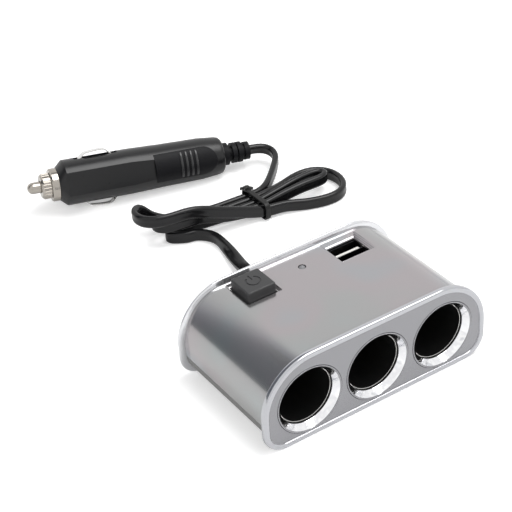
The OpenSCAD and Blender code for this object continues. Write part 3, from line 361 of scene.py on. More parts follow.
def finish(name, colour, rough, metal=0.0, coat=0.0, grain=900, relief=0.02,
           stretch=(1, 1, 1), spread=0.06, tints=None, tint_scale=30, shine=0.5):
    """A procedural material: colour, roughness spread, grain and soft clouds of tints."""
    material = bpy.data.materials.new(name)
    material.use_nodes = True
    tree = material.node_tree
    shader = tree.nodes["Principled BSDF"]
    place = add_node(tree, "ShaderNodeTexCoord").outputs["Object"]
    scale = add_node(tree, "ShaderNodeMapping", {"Vector": place, "Scale": stretch})
    speck = add_node(tree, "ShaderNodeTexNoise", {
        "Vector": scale.outputs["Vector"], "Scale": grain, "Detail": 4}).outputs["Fac"]
    level = add_node(tree, "ShaderNodeMapRange", {
        "Value": speck, "To Min": max(rough - spread, SMOOTHEST), "To Max": rough + spread})
    bump = add_node(tree, "ShaderNodeBump", {
        "Height": speck, "Strength": 1, "Distance": relief * MM})
    feed(tree, shader, {
        "Base Color": (*colour, 1), "Metallic": metal, "Coat Weight": coat,
        "Coat Roughness": CLEAR_COAT_ROUGH, "Specular IOR Level": shine,
        "Roughness": level.outputs["Result"], "Normal": bump.outputs["Normal"]})
    if tints:
        cloud = add_node(tree, "ShaderNodeTexNoise", {
            "Vector": place, "Scale": tint_scale, "Detail": 2}).outputs["Fac"]
        stops = [(CLOUD_LOW + CLOUD_SPAN * i / (len(tints) - 1), tint)
                 for i, tint in enumerate(tints)]
        feed(tree, shader, {"Base Color": colour_ramp(tree, cloud, stops, "EASE")})
    return material


cable_black = finish("cable_black", (0.005, 0.005, 0.0055), 0.2, grain=700,
                     relief=0.006, shine=0.36, spread=0.03)
print("nodes of the first finish:", len(cable_black.node_tree.nodes))

# %% [markdown]
# ## The cable itself
#
# A flat twin lead is a ribbon with round edges and a faint groove between its two cores.
# A bevelled curve would twist where the lead turns from flat to standing, so each ring is
# placed one by one: one axis of the ring is the wide way of the lead and the other the thin
# way, and the roll of the route turns them about the line.

# %% The section of the flat lead
EDGE_R = 1.2
GROOVE = [(1.3, 0), (0.55, 0.02), (0, 0.09), (-0.55, 0.02), (-1.3, 0)]


def arc(cx, cz, r, start, end, count):
    """Points of a circle between two angles in degrees, with both ends."""
    angles = [math.radians(start + (end - start) * i / count) for i in range(count + 1)]
    return [(cx + r * math.cos(a), cz + r * math.sin(a)) for a in angles]


def round_outline(w, h, r, count=5):
    """The four round corners of a rectangle about the middle, one list each."""
    return [arc(sx * (w / 2 - r), sz * (h / 2 - r), r, start, start + 90, count)
            for sx, sz, start in ((1, 1, 0), (-1, 1, 90), (-1, -1, 180), (1, -1, 270))]


def lead_section():
    """Outline of the flat lead with the grooves along both faces."""
    a, b, c, d = round_outline(CABLE_W, CABLE_T, EDGE_R, 4)
    upper = [(x, CABLE_T / 2 - deep) for x, deep in GROOVE]
    return a + upper + b + c + [(-x, -z) for x, z in upper] + d


print("points round the lead:", len(lead_section()))

# %% Sweep the section along the route


def sweep_flat(line, section):
    """Rings of a section along a line of points with roll."""
    centres = [p.to_3d() for p in line]
    rings = []
    for i, point in enumerate(line):
        ahead = (centres[min(i + 1, len(line) - 1)] - centres[max(i - 1, 0)]).normalized()
        side = Vector((0, 0, 1)).cross(ahead).normalized()
        up = ahead.cross(side)
        roll = math.radians(point[3])
        wide = math.cos(roll) * up + math.sin(roll) * side
        thin = math.cos(roll) * side - math.sin(roll) * up
        rings.append([centres[i] + a * wide + b * thin for a, b in section])
    return rings


cable_rings = sweep_flat(cable_line, lead_section())
print("rings of the cable:", len(cable_rings))

# %% [markdown]
# ## Rings become a mesh
#
# Most pieces here are made of rings: closed loops of points with the same number of
# points in each. Joining one ring to the next gives a wall, and later a flat face with
# holes is filled between the rings that border it. This keeps every edge where it is
# wanted, and needs no boolean cuts.

# %% Rings and the walls between them


def add_ring(bm, points):
    return [bm.verts.new(Vector(p) * MM) for p in points]


def join_rings(bm, rings, closed=True):
    """A wall of four-sided faces from each ring to the next."""
    for a, b in zip(rings, rings[1:]):
        for i in range(len(a) if closed else len(a) - 1):
            j = (i + 1) % len(a)
            bm.faces.new((a[i], a[j], b[j], b[i]))


def add_wall(bm, rings):
    """New rings joined one after the other; returns the first and the last one."""
    made = [add_ring(bm, r) for r in rings]
    join_rings(bm, made)
    return made[0], made[-1]


def add_tube(bm, rings):
    """A wall with a face on each end."""
    for ring in add_wall(bm, rings):
        bm.faces.new(ring)


bm = bmesh.new()
add_tube(bm, cable_rings)
print("faces of the cable:", len(bm.faces))

# %% The mesh becomes a named piece


def make_piece(bm, name, material, body="housing", sharp=38, even=True, sheet=False):
    """Turns a bmesh into a named object that rides on a body; a sheet faces upward."""
    bmesh.ops.recalc_face_normals(bm, faces=bm.faces)
    if sheet and sum(face.normal.z * face.calc_area() for face in bm.faces) < 0:
        bmesh.ops.reverse_faces(bm, faces=bm.faces)
    mesh = bpy.data.meshes.new(name)
    bm.to_mesh(mesh)
    bm.free()
    for polygon in mesh.polygons:
        polygon.use_smooth = True
    mesh.set_sharp_from_angle(angle=math.radians(sharp))
    mesh.materials.append(material)
    piece = bpy.data.objects.new(name, mesh)
    bpy.context.scene.collection.objects.link(piece)
    if even:
        modifier = piece.modifiers.new("even_normals", "WEIGHTED_NORMAL")
        modifier.keep_sharp = True
    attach(piece, body)
    print(name, "faces:", len(mesh.polygons))
    return piece


cable = make_piece(bm, "twin_cable", cable_black, sharp=60, even=False)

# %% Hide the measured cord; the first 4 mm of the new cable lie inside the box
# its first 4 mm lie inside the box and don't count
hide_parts("cord_box_lead", "cord_hank", "cord_plug_lead")

# %% [markdown]
# ## The outline of the box
#
# Shell, tray and both end frames share one outline: a rectangle with two large corners
# above and two small ones below. A smaller copy keeps the same corner centres, so insets
# stay parallel, as offset curves do.

# %% The shared outline
BODY_W, BODY_D, BODY_H = 98.5, 57, 36.5
TOP_R, BOTTOM_R = 21.5, 9
RIM_PROUD, RIM_T = 2.2, 2.2
Y_FRONT, Y_REAR = -BODY_D / 2, BODY_D / 2
SHELL_Y0, SHELL_Y1 = Y_FRONT + RIM_T, Y_REAR - RIM_T
SHELL_TOP = BODY_H - RIM_PROUD
SEAM_Z = 10


def box_outline(inset, y):
    """Points of the outline, inset towards its middle, at a depth."""
    quarters = ((1, TOP_R, BODY_H - TOP_R, 0, 28), (-1, TOP_R, BODY_H - TOP_R, 90, 28),
                (-1, BOTTOM_R, BOTTOM_R, 180, 14), (1, BOTTOM_R, BOTTOM_R, 270, 14))
    return [(x, y, z) for side, r, middle_z, start, count in quarters
            for x, z in arc(side * (BODY_W / 2 - r), middle_z, r - inset, start, start + 90,
                            count)]


print("outline points:", len(box_outline(0, 0)))

# %% [markdown]
# ## The upper shell
#
# The shell is a thin moulding with a flat top, round flanks and three openings. A solid
# cut with booleans would shade badly around the openings, because long thin triangles
# meet the round flanks there. Here the flat top is filled between its border and the
# openings, the flanks are long strips, and a solidify modifier gives the wall. The paint
# is a metallic silver with a clear coat, and its colour drifts a little from cloud to
# cloud of tint.

# %% The flanks
FLAT_X = 29.7
FLANK_W = BODY_W / 2 - RIM_PROUD - FLAT_X
FLANK_H = TOP_R - RIM_PROUD


def flank(side, steps=30):
    """Points from the flat top down one side to the seam."""
    points = [(FLAT_X + FLANK_W * math.sin(math.pi / 2 * i / steps),
               SHELL_TOP - FLANK_H * (1 - math.cos(math.pi / 2 * i / steps)))
              for i in range(steps + 1)]
    edge_x = points[-1][0]
    points += [(edge_x, SEAM_Z + 0.35), (edge_x - 0.1, SEAM_Z + 0.1), (edge_x - 0.35, SEAM_Z)]
    return [(side * x, z) for x, z in points]


bm = bmesh.new()
top_edges = {}
for side in (1, -1):
    strips = [add_ring(bm, [(x, SHELL_Y0, z), (x, SHELL_Y1, z)]) for x, z in flank(side)]
    join_rings(bm, strips, closed=False)
    top_edges[side] = strips[0]
border = [top_edges[1][0], top_edges[1][1], top_edges[-1][1], top_edges[-1][0]]
print("strips of both flanks:", len(bm.faces))

# %% The openings for the button, the USB window and the lamp
ROW_X, ROW_Y = 21.3, 17.7
LAMP_X = 0.3
BUTTON_FRAME = [(15.4, 0.9, 0), (15.25, 0.85, 0.08), (15.0, 0.8, 0.24), (13.6, 0.6, 0.82),
                (13.3, 0.5, 0.9), (12.8, 0.4, 0.92), (12.6, 0.35, 1.1), (12.6, 0.35, 2)]
WINDOW_FRAME = [(16.0, 14.4, 0.7, 0), (15.75, 14.15, 0.65, 0.2), (14.9, 13.2, 0.6, 0.34),
                (14.65, 12.95, 0.5, 0.6), (13.9, 11.7, 0.4, 0.78), (13.65, 11.45, 0.4, 1.05),
                (13.0, 10.3, 0.3, 1.3), (12.8, 10.0, 0.3, 1.6), (12.8, 10.0, 0.3, 2)]
LAMP_FRAME = [(1.58, 0), (1.53, 0.05), (1.53, 2)]


def rounded_rect(cx, cy, w, d, r, z):
    """A rectangle with round corners, lying flat at a height."""
    return [(cx + x, cy + y, z) for part in round_outline(w, d, r) for x, y in part]


def circle(cx, cy, r, count):
    angles = [2 * math.pi * i / count for i in range(count)]
    return [(cx + r * math.cos(a), cy + r * math.sin(a)) for a in angles]


button_rings = [rounded_rect(-ROW_X, ROW_Y, w, w, r, SHELL_TOP - drop)
                for w, r, drop in BUTTON_FRAME]
window_rings = [rounded_rect(ROW_X, ROW_Y, w, d, r, SHELL_TOP - drop)
                for w, d, r, drop in WINDOW_FRAME]
lamp_rings = [[(x, y, SHELL_TOP - drop) for x, y in circle(LAMP_X, ROW_Y, r, 32)]
              for r, drop in LAMP_FRAME]
openings = [add_wall(bm, rings)[0] for rings in (button_rings, window_rings, lamp_rings)]
print("corners of the openings:", [len(ring) for ring in openings])

# %% The flat top, filled around the openings


def inside(point, outline):
    """Whether a flat point lies within a closed outline."""
    hit = False
    for a, b in zip(outline, outline[1:] + outline[:1]):
        if (a.y > point.y) != (b.y > point.y):
            hit ^= point.x < a.x + (b.x - a.x) * (point.y - a.y) / (b.y - a.y)
    return hit


def fill_flat(bm, loops, plane):
    """Triangles between an outer loop of vertices and the loops of its holes.

    The plane is a pair of axis numbers: (0, 1) is level, (0, 2) faces along y.
    """
    corners = [vertex for loop in loops for vertex in loop]
    flat = [Vector((v.co[plane[0]], v.co[plane[1]])) / MM for v in corners]
    outlines, edges, start = [], [], 0
    for loop in loops:
        count = len(loop)
        outlines.append(flat[start:start + count])
        edges += [(start + i, start + (i + 1) % count) for i in range(count)]
        start += count
    places, _, faces, origins, _, _ = geometry.delaunay_2d_cdt(flat, edges, [], 0, 1e-5)
    for face in faces:
        middle = sum((places[i] for i in face), Vector((0, 0))) / len(face)
        if inside(middle, outlines[0]) and not any(inside(middle, o) for o in outlines[1:]):
            bm.faces.new([corners[origins[i][0]] for i in face])


fill_flat(bm, [border] + openings, (0, 1))
print("faces of the whole skin:", len(bm.faces))

# %% The finished shell
SHELL_WALL = 1.3
LEVEL = 0.9999
pearl_silver = finish(
    "pearl_silver", (0.37, 0.375, 0.38), 0.17, metal=0.85, coat=0.35, grain=1500,
    relief=0.003, spread=0.02, tint_scale=20,
    tints=[(0.36, 0.385, 0.385), (0.375, 0.375, 0.375), (0.395, 0.368, 0.378),
           (0.372, 0.376, 0.392), (0.367, 0.386, 0.372)])
shell = make_piece(bm, "shell_moulding", pearl_silver, sharp=20, even=False, sheet=True)
for polygon in shell.data.polygons:
    polygon.use_smooth = polygon.normal.z < LEVEL
# the wall's rim would bend the shading of the flanks if the border weren't sharp
uses = Counter(key for polygon in shell.data.polygons for key in polygon.edge_keys)
for edge in shell.data.edges:
    edge.use_edge_sharp = edge.use_edge_sharp or uses[edge.key] == 1
wall = shell.modifiers.new("wall", "SOLIDIFY")
wall.thickness = SHELL_WALL * MM
wall.offset = -1
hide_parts("upper_shell")

# %% [markdown]
# ## The front frame
#
# The end frames are bright mouldings that stand proud of the shell. The front one has a
# raised border around a plate with three holes. Its edges are rounded, and these
# roundings catch the light as white lines, so each rounding is a few rings of its own.
# The plate inside the border is darker, so its faces take a second finish.

# %% Front frame with its plate
SOCKET_PITCH = 29.5
SOCKET_X = [-SOCKET_PITCH, 0, SOCKET_PITCH]
AXIS_Z = 16.2
STEP_R = 13.8
PLATE_Y = Y_FRONT + 0.6
FRONT_PROFILE = [
    (0.3, SHELL_Y0),
    (0.08, SHELL_Y0 - 0.08), (0, SHELL_Y0 - 0.3), (0, Y_FRONT + 0.85),
    (0.1, Y_FRONT + 0.45), (0.35, Y_FRONT + 0.15), (0.75, Y_FRONT + 0.02),
    (1.1, Y_FRONT), (1.75, Y_FRONT + 0.02), (2.05, Y_FRONT + 0.12),
    (2.2, Y_FRONT + 0.32), (2.24, PLATE_Y - 0.05), (2.3, PLATE_Y)]
HOLE_PROFILE = [(STEP_R + 0.05, PLATE_Y), (STEP_R, PLATE_Y + 0.05), (STEP_R, SHELL_Y0)]


def circle_y(x, r, y, count=96):
    """A circle about a socket's axis at a depth."""
    return [(u, y, z) for u, z in circle(x, AXIS_Z, r, count)]


bm = bmesh.new()
back_ring, plate_ring = add_wall(bm, [box_outline(i, y) for i, y in FRONT_PROFILE])
holes = [add_wall(bm, [circle_y(x, r, y) for r, y in HOLE_PROFILE]) for x in SOCKET_X]
fill_flat(bm, [plate_ring] + [h[0] for h in holes], (0, 2))
fill_flat(bm, [back_ring] + [h[1] for h in holes], (0, 2))
rim_silver = finish("rim_silver", (0.5, 0.505, 0.53), 0.12, metal=0.9, coat=0.5,
                    grain=500, relief=0.006, spread=0.03)
front_frame = make_piece(bm, "front_frame", rim_silver)
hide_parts("front_bezel")

# %% The darker plate
plate_grey = finish("plate_grey", (0.3, 0.3, 0.315), 0.22, metal=0.8, coat=0.3,
                    grain=500, relief=0.01)


def second_finish(piece, material, chosen):
    """Gives a second finish to the faces whose corners all pass a test."""
    piece.data.materials.append(material)
    vertices = piece.data.vertices
    faces = [polygon for polygon in piece.data.polygons
             if all(chosen(vertices[v].co) for v in polygon.vertices)]
    for polygon in faces:
        polygon.material_index = 1
    print(piece.name, "faces with", material.name + ":", len(faces))


second_finish(front_frame, plate_grey,
              lambda co: (PLATE_Y - 0.05) * MM < co.y < (PLATE_Y + 0.2) * MM)

# %% [markdown]
# ## The rear frame
#
# The back of the box is seen from other sides, so it gets the same care: a frame with a
# stepped, slanting inner face and a slot with round ends for the flat cable. Its plastic
# is brighter than the front frame's, because it looks half clear in the photograph.

# %% Rear frame with the cable slot
SLOT_Z = 14
PLUG_IN_INSET = 4.35
INNER_Y = SHELL_Y1 - 1.2
REAR_PROFILE = [
    (PLUG_IN_INSET, INNER_Y), (PLUG_IN_INSET, SHELL_Y1), (2.25, SHELL_Y1),
    (1.45, SHELL_Y1 + 0.32), (1.1, SHELL_Y1 + 0.34), (0.35, SHELL_Y1 + 0.66),
    (0.1, SHELL_Y1 + 0.78), (0, SHELL_Y1 + 0.95), (0, Y_REAR - 0.85),
    (0.1, Y_REAR - 0.45), (0.35, Y_REAR - 0.15), (0.85, Y_REAR)]


def stadium(w, h, y):
    """A slot with round ends, standing across the depth."""
    return [(x, y, z) for side, start in ((1, -90), (-1, 90))
            for x, z in arc(side * (w - h) / 2, SLOT_Z, h / 2, start, start + 180, 16)]


bm = bmesh.new()
inner_ring, outer_ring = add_wall(bm, [box_outline(i, y) for i, y in REAR_PROFILE])
slot = add_wall(bm, [stadium(8.6, 5.8, Y_REAR), stadium(8.4, 5.6, Y_REAR - 0.1),
                     stadium(8.4, 5.6, INNER_Y)])
fill_flat(bm, [outer_ring, slot[0]], (0, 2))
fill_flat(bm, [inner_ring, slot[1]], (0, 2))
rim_bright = finish("rim_bright", (0.74, 0.745, 0.765), 0.14, metal=0.9, coat=0.5,
                    grain=500, relief=0.006, spread=0.03)
rear_frame = make_piece(bm, "rear_frame", rim_bright)
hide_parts("rear_bezel")

# %% [markdown]
# ## Socket collars and sleeves
#
# Each socket has a polished conical collar and, behind it, a thin steel sleeve in a black
# barrel. They are turned shapes: a profile of radius and depth, spun about the socket's
# axis. The cone mirrors its surroundings in streaks, so its grain is drawn out along the
# axis, and soft clouds of lighter and darker silver are painted on it as a painted
# reflection of those surroundings. The flat lip around it is as grey as the plate.

# %% A profile spun about a socket's axis
COLLAR_PROFILE = [
    (13.7, SHELL_Y0), (13.7, -27.85), (13.62, -28.02), (13.45, -28.1), (13.3, -28.1),
    (13.18, -28.02), (13.0, -27.8), (11.42, -25.5), (11.32, -25.36), (11.3, -25.2),
    (11.3, -25.1), (12.45, -25.1), (12.45, SHELL_Y0)]
SLEEVE_PROFILE = [(11.4, 5.8), (11.4, -24.45), (11.32, -24.5), (11.1, -24.5),
                  (11.0, -24.42), (11.0, 5.8)]


def spin(name, profile, x, material):
    """A closed profile of radius and depth, turned about a socket's axis."""
    bm = bmesh.new()
    rings = [add_ring(bm, circle_y(x, r, y)) for r, y in profile]
    join_rings(bm, rings + rings[:1])
    return make_piece(bm, name, material)


print("corners of the profiles:", len(COLLAR_PROFILE), "and", len(SLEEVE_PROFILE))

# %% Collars with a grey lip, and black sleeves with a bright front edge
LIP_R, SLEEVE_EDGE_Y = 12.95, -24.4
# the tint clouds of the polished collar are painted reflection: lighter and darker silver
# standing in for mirrored surroundings
polished_ring = finish("polished_ring", (0.9, 0.905, 0.91), 0.12, metal=1.0, coat=0.3,
                       grain=260, relief=0.06, stretch=(1, 0.25, 1),
                       tints=[(0.66, 0.67, 0.7), (0.9, 0.9, 0.91), (0.84, 0.84, 0.86),
                              (0.95, 0.95, 0.96)], tint_scale=200)
socket_black = finish("socket_black", (0.006, 0.006, 0.006), 0.45, grain=1200,
                      shine=0.3)
nickel_plate = finish("nickel_plate", (0.78, 0.77, 0.75), 0.14, metal=1.0, grain=800,
                      relief=0.01)
for i, x in enumerate(SOCKET_X, start=1):
    collar = spin("collar_%d" % i, COLLAR_PROFILE, x, polished_ring)
    second_finish(collar, plate_grey,
                  lambda co: math.hypot(co.x / MM - x, co.z / MM - AXIS_Z) > LIP_R)
    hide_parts("trim_ring_%d" % i)
    sleeve = spin("sleeve_%d" % i, SLEEVE_PROFILE, x, socket_black)
    second_finish(sleeve, nickel_plate, lambda co: co.y < SLEEVE_EDGE_Y * MM)
    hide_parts("socket_liner_%d" % i)

# %% [markdown]
# ## The push button
#
# The cap is a square block with soft edges on a thin flange that the shell holds down.
# The power mark is sunk into its top: a ring with a gap and a short bar. The top face is
# filled around the outlines of the mark, and small walls lead down to its floor.

# %% Rings of the cap and its flange
CAP_W, FLANGE_W = 12, 14
CAP_TOP, FLANGE_Z = SHELL_TOP + 3.3, 31
CAP_RINGS = [rounded_rect(-ROW_X, ROW_Y, w, w, r, z) for w, r, z in (
    (CAP_W - 1.1, 0.3, CAP_TOP), (CAP_W - 0.6, 0.5, CAP_TOP - 0.09),
    (CAP_W - 0.2, 0.65, CAP_TOP - 0.32), (CAP_W, 0.7, CAP_TOP - 0.7),
    (CAP_W, 0.7, FLANGE_Z + 1), (FLANGE_W - 0.2, 0.7, FLANGE_Z + 1),
    (FLANGE_W, 0.8, FLANGE_Z + 0.9), (FLANGE_W, 0.8, FLANGE_Z))]
print("height of the cap in mm:", round(CAP_TOP - FLANGE_Z, 1))

# %% Outlines of the power mark: a ring with a gap, and a bar
MARK_R, MARK_W, MARK_GAP, MARK_DEEP = 2.7, 0.6, 34, 0.25
ARC_STEPS = 28
half_w = MARK_W / 2
gap_start, gap_end = 450 - MARK_GAP, 90 + MARK_GAP
bar_foot, bar_top = 0.7, MARK_R + 0.9
mark_ring = (arc(0, 0, MARK_R + half_w, gap_end, gap_start, ARC_STEPS)
             + arc(0, 0, MARK_R - half_w, gap_start, gap_end, ARC_STEPS))
mark_bar = [(half_w, bar_foot), (half_w, bar_top), (-half_w, bar_top), (-half_w, bar_foot)]
print("points of the mark:", len(mark_ring) + len(mark_bar))

# %% The button with its sunk mark
bm = bmesh.new()
top_ring, bottom_ring = add_wall(bm, CAP_RINGS)
bm.faces.new(bottom_ring)
mark_tops = []
for outline in (mark_ring, mark_bar):
    mark_top, mark_floor = add_wall(bm, [[(x - ROW_X, y + ROW_Y, CAP_TOP - deep)
                                          for x, y in outline] for deep in (0, MARK_DEEP)])
    fill_flat(bm, [mark_floor], (0, 1))
    mark_tops.append(mark_top)
fill_flat(bm, [top_ring] + mark_tops, (0, 1))
button_plastic = finish("button_plastic", (0.035, 0.035, 0.036), 0.45, grain=1600,
                        shine=0.4)
button = make_piece(bm, "button_cap", button_plastic, body="button", sharp=30)
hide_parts("power_button")

# %% [markdown]
# ## The tie around the hank
#
# A flat strap hugs the strands and ends in a small knot with two short tails. A strap is
# a section swept along a flat path: its wide way stays across the path, and its thin way
# turns with it.

# %% A strap along a path


def strap(bm, path, wide, section, closed=False):
    """Rings of a section along a path; wide is the direction of its width."""
    path, count = [Vector(p) for p in path], len(path)
    rings = []
    for i, point in enumerate(path):
        after = path[(i + 1) % count] if closed else path[min(i + 1, count - 1)]
        before = path[i - 1] if closed else path[max(i - 1, 0)]
        thin = (after - before).cross(wide).normalized()
        rings.append(add_ring(bm, [point + a * wide + b * thin for a, b in section]))
    join_rings(bm, rings + (rings[:1] if closed else []))
    if not closed:
        bm.faces.new(rings[0])
        bm.faces.new(rings[-1])


def strap_section(w, t, r):
    return [p for part in round_outline(w, t, r, 3) for p in part]


print("points round a strap:", len(strap_section(2, 1, 0.3)))

# %% The loop round the strands
TIE_BELOW, TIE_ABOVE, TIE_FRONT, TIE_BACK = 0.6, 8.15, 94.9, 113.2
TIE_BEND = 2.2
mid_y, mid_z = (TIE_FRONT + TIE_BACK) / 2, (TIE_BELOW + TIE_ABOVE) / 2
around = [(TIE_X, mid_y + y, mid_z + z)
          for part in round_outline(TIE_BACK - TIE_FRONT, TIE_ABOVE - TIE_BELOW, TIE_BEND, 6)
          for y, z in part]
X_WAY, Y_WAY, Z_WAY = Vector((1, 0, 0)), Vector((0, 1, 0)), Vector((0, 0, 1))
bm = bmesh.new()
strap(bm, around, X_WAY, strap_section(2.4, 0.85, 0.3), closed=True)
print("faces of the loop:", len(bm.faces))

# %% The knot with its two tails
knot_place = Vector((TIE_X, TIE_BACK - 1.6, TIE_ABOVE + 0.35))
for turn, reach, rise in ((-38, 3.0, 0.4), (146, 2.6, 0.3)):
    way = Matrix.Rotation(math.radians(turn), 3, "Z") @ X_WAY
    tail = [knot_place + way * reach * k / 4
            + Vector((0, 0, rise * math.sin(0.8 * math.pi * k / 4) - 0.12 * k))
            for k in range(5)]
    strap(bm, tail, way.cross(Z_WAY), strap_section(1.7, 0.7, 0.25))
knot = [knot_place + Vector((x, 0, 0.3 * math.cos(x))) for x in (-1.3, -1, -0.5, 0.5, 1, 1.3)]
strap(bm, knot, Y_WAY, strap_section(2.3, 1.3, 0.5))
tie_black = finish("tie_black", (0.006, 0.006, 0.006), 0.4, grain=1400, shine=0.3)
tie = make_piece(bm, "tie_strap", tie_black, sharp=50)
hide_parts("hank_tie")

# %% [markdown]
# ## The plug's housing
#
# The plug's housing is turned, with a flat on each side, and split down the middle into
# two halves. Each half is a C-shaped section carried along the plug's axis. Where the
# side contacts come out, the ends of the C move apart and leave a slot.

# %% The C-shaped section
BODY_LINE = [(13.2, 6.9), (13.35, 7.2), (16.2, 9.8), (16.5, 10), (21.6, 10), (21.6, 10),
             (41, 10), (41, 10), (45, 10), (56.6, 9.64), (57.1, 9.62), (59.5, 9.5),
             (70, 9.33), (78, 9.2), (86, 8.4), (87.4, 8.0), (88, 7.4)]
HALF_FLAT, HALF_WALL, SLOT_HALF = 8.6, 2, 2.55
FLAT_FROM, FLAT_TO = 15.9, 57
SPLIT = 0.06


def half_section(x, r, slotted):
    """A C-shaped section of the half on the +y side, outer skin first."""
    flat = HALF_FLAT if FLAT_FROM < x < FLAT_TO and r > HALF_FLAT else r - 0.01
    edge = math.degrees(math.acos(flat / r))
    slot_at = math.degrees(math.acos(SLOT_HALF / r))
    near = SLOT_HALF if slotted else SPLIT
    ends = [near + (SLOT_HALF - near) * k / 3 for k in range(3)]
    side = [(y, math.sqrt(r * r - y * y)) for y in ends] + arc(0, 0, r, slot_at, edge, 9)
    low = side[-1][1]
    skin = side + [(flat, low * k / 3) for k in (2, 1, 0, -1, -2)]
    skin += [(y, -z) for y, z in reversed(side)]
    inner_r = r - HALF_WALL
    lining = [(y * inner_r / r if y > SLOT_HALF else y, z * inner_r / r)
              for y, z in reversed(skin)]
    return skin + [(min(y, flat - HALF_WALL, inner_r - 0.01), z) for y, z in lining]


print("points of a section:", len(half_section(30, 10, False)))

# %% The two halves
SLOTTED = (5, 6)
plug_plastic = finish("plug_plastic", (0.004, 0.004, 0.0045), 0.3, grain=1500,
                      relief=0.008, shine=0.42)
for side, name in ((-1, "plug_half_front"), (1, "plug_half_rear")):
    bm = bmesh.new()
    rings = [[(x, side * y, z) for y, z in half_section(x, r, i in SLOTTED)]
             for i, (x, r) in enumerate(BODY_LINE)]
    for end_ring in add_wall(bm, rings):
        fill_flat(bm, [end_ring], (1, 2))
    bmesh.ops.remove_doubles(bm, verts=bm.verts, dist=0.002 * MM)
    bmesh.ops.transform(bm, matrix=plug_matrix, verts=bm.verts)
    half = make_piece(bm, name.replace("plug_half", "housing_half"), plug_plastic, sharp=24)
    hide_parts(name)

# %% [markdown]
# ## The finger pads
#
# Soft pads on both sides of the plug give the fingers a hold. A pad is a thin sheet laid
# over the housing, straight in front and round at its rear end, so it is swept along the
# plug with a width that shrinks at the end. Its four ribs are short straps across it,
# with a glossier finish so that their crests catch the lamps, and a black a little lighter
# than the pad's, a painted sheen on the crests.

# %% The height of the pad above the plug's axis
PAD_START, PAD_END, PAD_HALF, PAD_PROUD, PAD_SUNK = 55.5, 84, 6.25, 0.22, 0.7
ROUND_START = PAD_END - PAD_HALF


def body_radius(x):
    """Radius of the housing at a distance from the tip."""
    for (x0, r0), (x1, r1) in zip(BODY_LINE, BODY_LINE[1:]):
        if x0 <= x <= x1 and x1 > x0:
            return r0 + (r1 - r0) * (x - x0) / (x1 - x0)
    return BODY_LINE[-1][1]


def pad_height(x, z, proud=PAD_PROUD):
    return math.sqrt((body_radius(x) + proud) ** 2 - z * z)


pad_steps = [PAD_START + (ROUND_START - PAD_START) * i / 10 for i in range(10)]
pad_steps += [PAD_END - PAD_HALF * (1 - math.sin(math.radians(9 * i))) for i in range(11)]
print("height at the start and at the end:", round(pad_height(PAD_START, 0), 2),
      round(pad_height(PAD_END, 0), 2))

# %% A ring of the pad, and its ribs
PAD_SHARES = ([(-1, 0.2), (-0.98, 0.05)] + [(k / 6, 0) for k in range(-5, 6)]
              + [(0.98, 0.05), (1, 0.2)])
RIB_START, RIB_STEP, RIB_W, RIB_H, RIB_HALF = 67.5, 2.3, 1.0, 0.5, 5.3
RIB_COUNT = 4


def pad_ring(x, side):
    """Points across the pad: the top one way, the underside back."""
    over = max(x - ROUND_START, 0)
    half = max(math.sqrt(PAD_HALF ** 2 - over ** 2), 0.25)
    top = [(x, side * (pad_height(x, half * k) - low), half * k) for k, low in PAD_SHARES]
    base = [(x, side * (pad_height(x, half * k) - PAD_SUNK), half * k)
            for k, _ in reversed(PAD_SHARES)]
    return top + base


def add_rib(bm, x, side):
    """A short strap across the pad with its ends pressed in."""
    crest = []
    for n in range(-8, 9):
        z = RIB_HALF * n / 8
        y = pad_height(x, z, PAD_PROUD + RIB_H / 2 - 0.1) - 0.3 * (abs(n) == 8)
        crest.append((x, side * y, z))
    strap(bm, crest, X_WAY, strap_section(RIB_W, RIB_H + 0.2, 0.3))


print("points of a pad's ring:", len(pad_ring(PAD_START, 1)))

# %% The two pads
grip_rubber = finish("grip_rubber", (0.005, 0.005, 0.006), 0.5, grain=2200, shine=0.16)
# the ribs' black is lighter than the pad's: a painted sheen on their crests
rib_sheen_black = finish("rib_sheen_black", (0.02, 0.02, 0.021), 0.3, grain=1400, relief=0.01,
                   shine=0.6)
for side, name in ((-1, "plug_grip_front"), (1, "plug_grip_rear")):
    bm = bmesh.new()
    add_tube(bm, [pad_ring(x, side) for x in pad_steps])
    pad_faces = len(bm.faces)
    for k in range(RIB_COUNT):
        add_rib(bm, RIB_START + RIB_STEP * k, side)
    bmesh.ops.transform(bm, matrix=plug_matrix, verts=bm.verts)
    pad = make_piece(bm, name.replace("plug_grip", "finger_pad"), grip_rubber, sharp=40)
    pad.data.materials.append(rib_sheen_black)
    for polygon in pad.data.polygons[pad_faces:]:
        polygon.material_index = 1
    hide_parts(name)

# %% [markdown]
# ## The side contacts
#
# Two spring strips carry the negative side of the plug. Each is one bent strip of bright
# metal with a flat crown, which a swept strap gives with all its bends. Each rides on its
# own body, because it tilts in when the plug is pushed into a socket.

# %% Bend the two strips
CONTACT_LINE = [(22.6, 5.5), (22.6, 7.6), (23.2, 8.3), (25.6, 10.7), (26.4, 11.3),
                (27.4, 11.6), (31.3, 11.95), (34.4, 12.0), (35.6, 11.8), (36.4, 11.3),
                (39.4, 8.2), (40, 7.4)]
for side, name in ((1, "upper"), (-1, "lower")):
    bm = bmesh.new()
    strap(bm, [(x, 0, side * z) for x, z in CONTACT_LINE], Y_WAY,
          strap_section(4.5, 0.5, 0.15))
    bmesh.ops.transform(bm, matrix=plug_matrix, verts=bm.verts)
    contact = make_piece(bm, "contact_strip_" + name, nickel_plate,
                         body=name + "_contact", sharp=30)
    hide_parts("plug_contact_" + name)

# %% [markdown]
# ## Finishes of the pieces that keep their measured shape
#
# Screws, contacts, the supply board and the parts of the plug are right as they are
# measured. Each takes a finish by the first words of its name, so a row of the tables
# below is a finish and the words that its nodes start with.

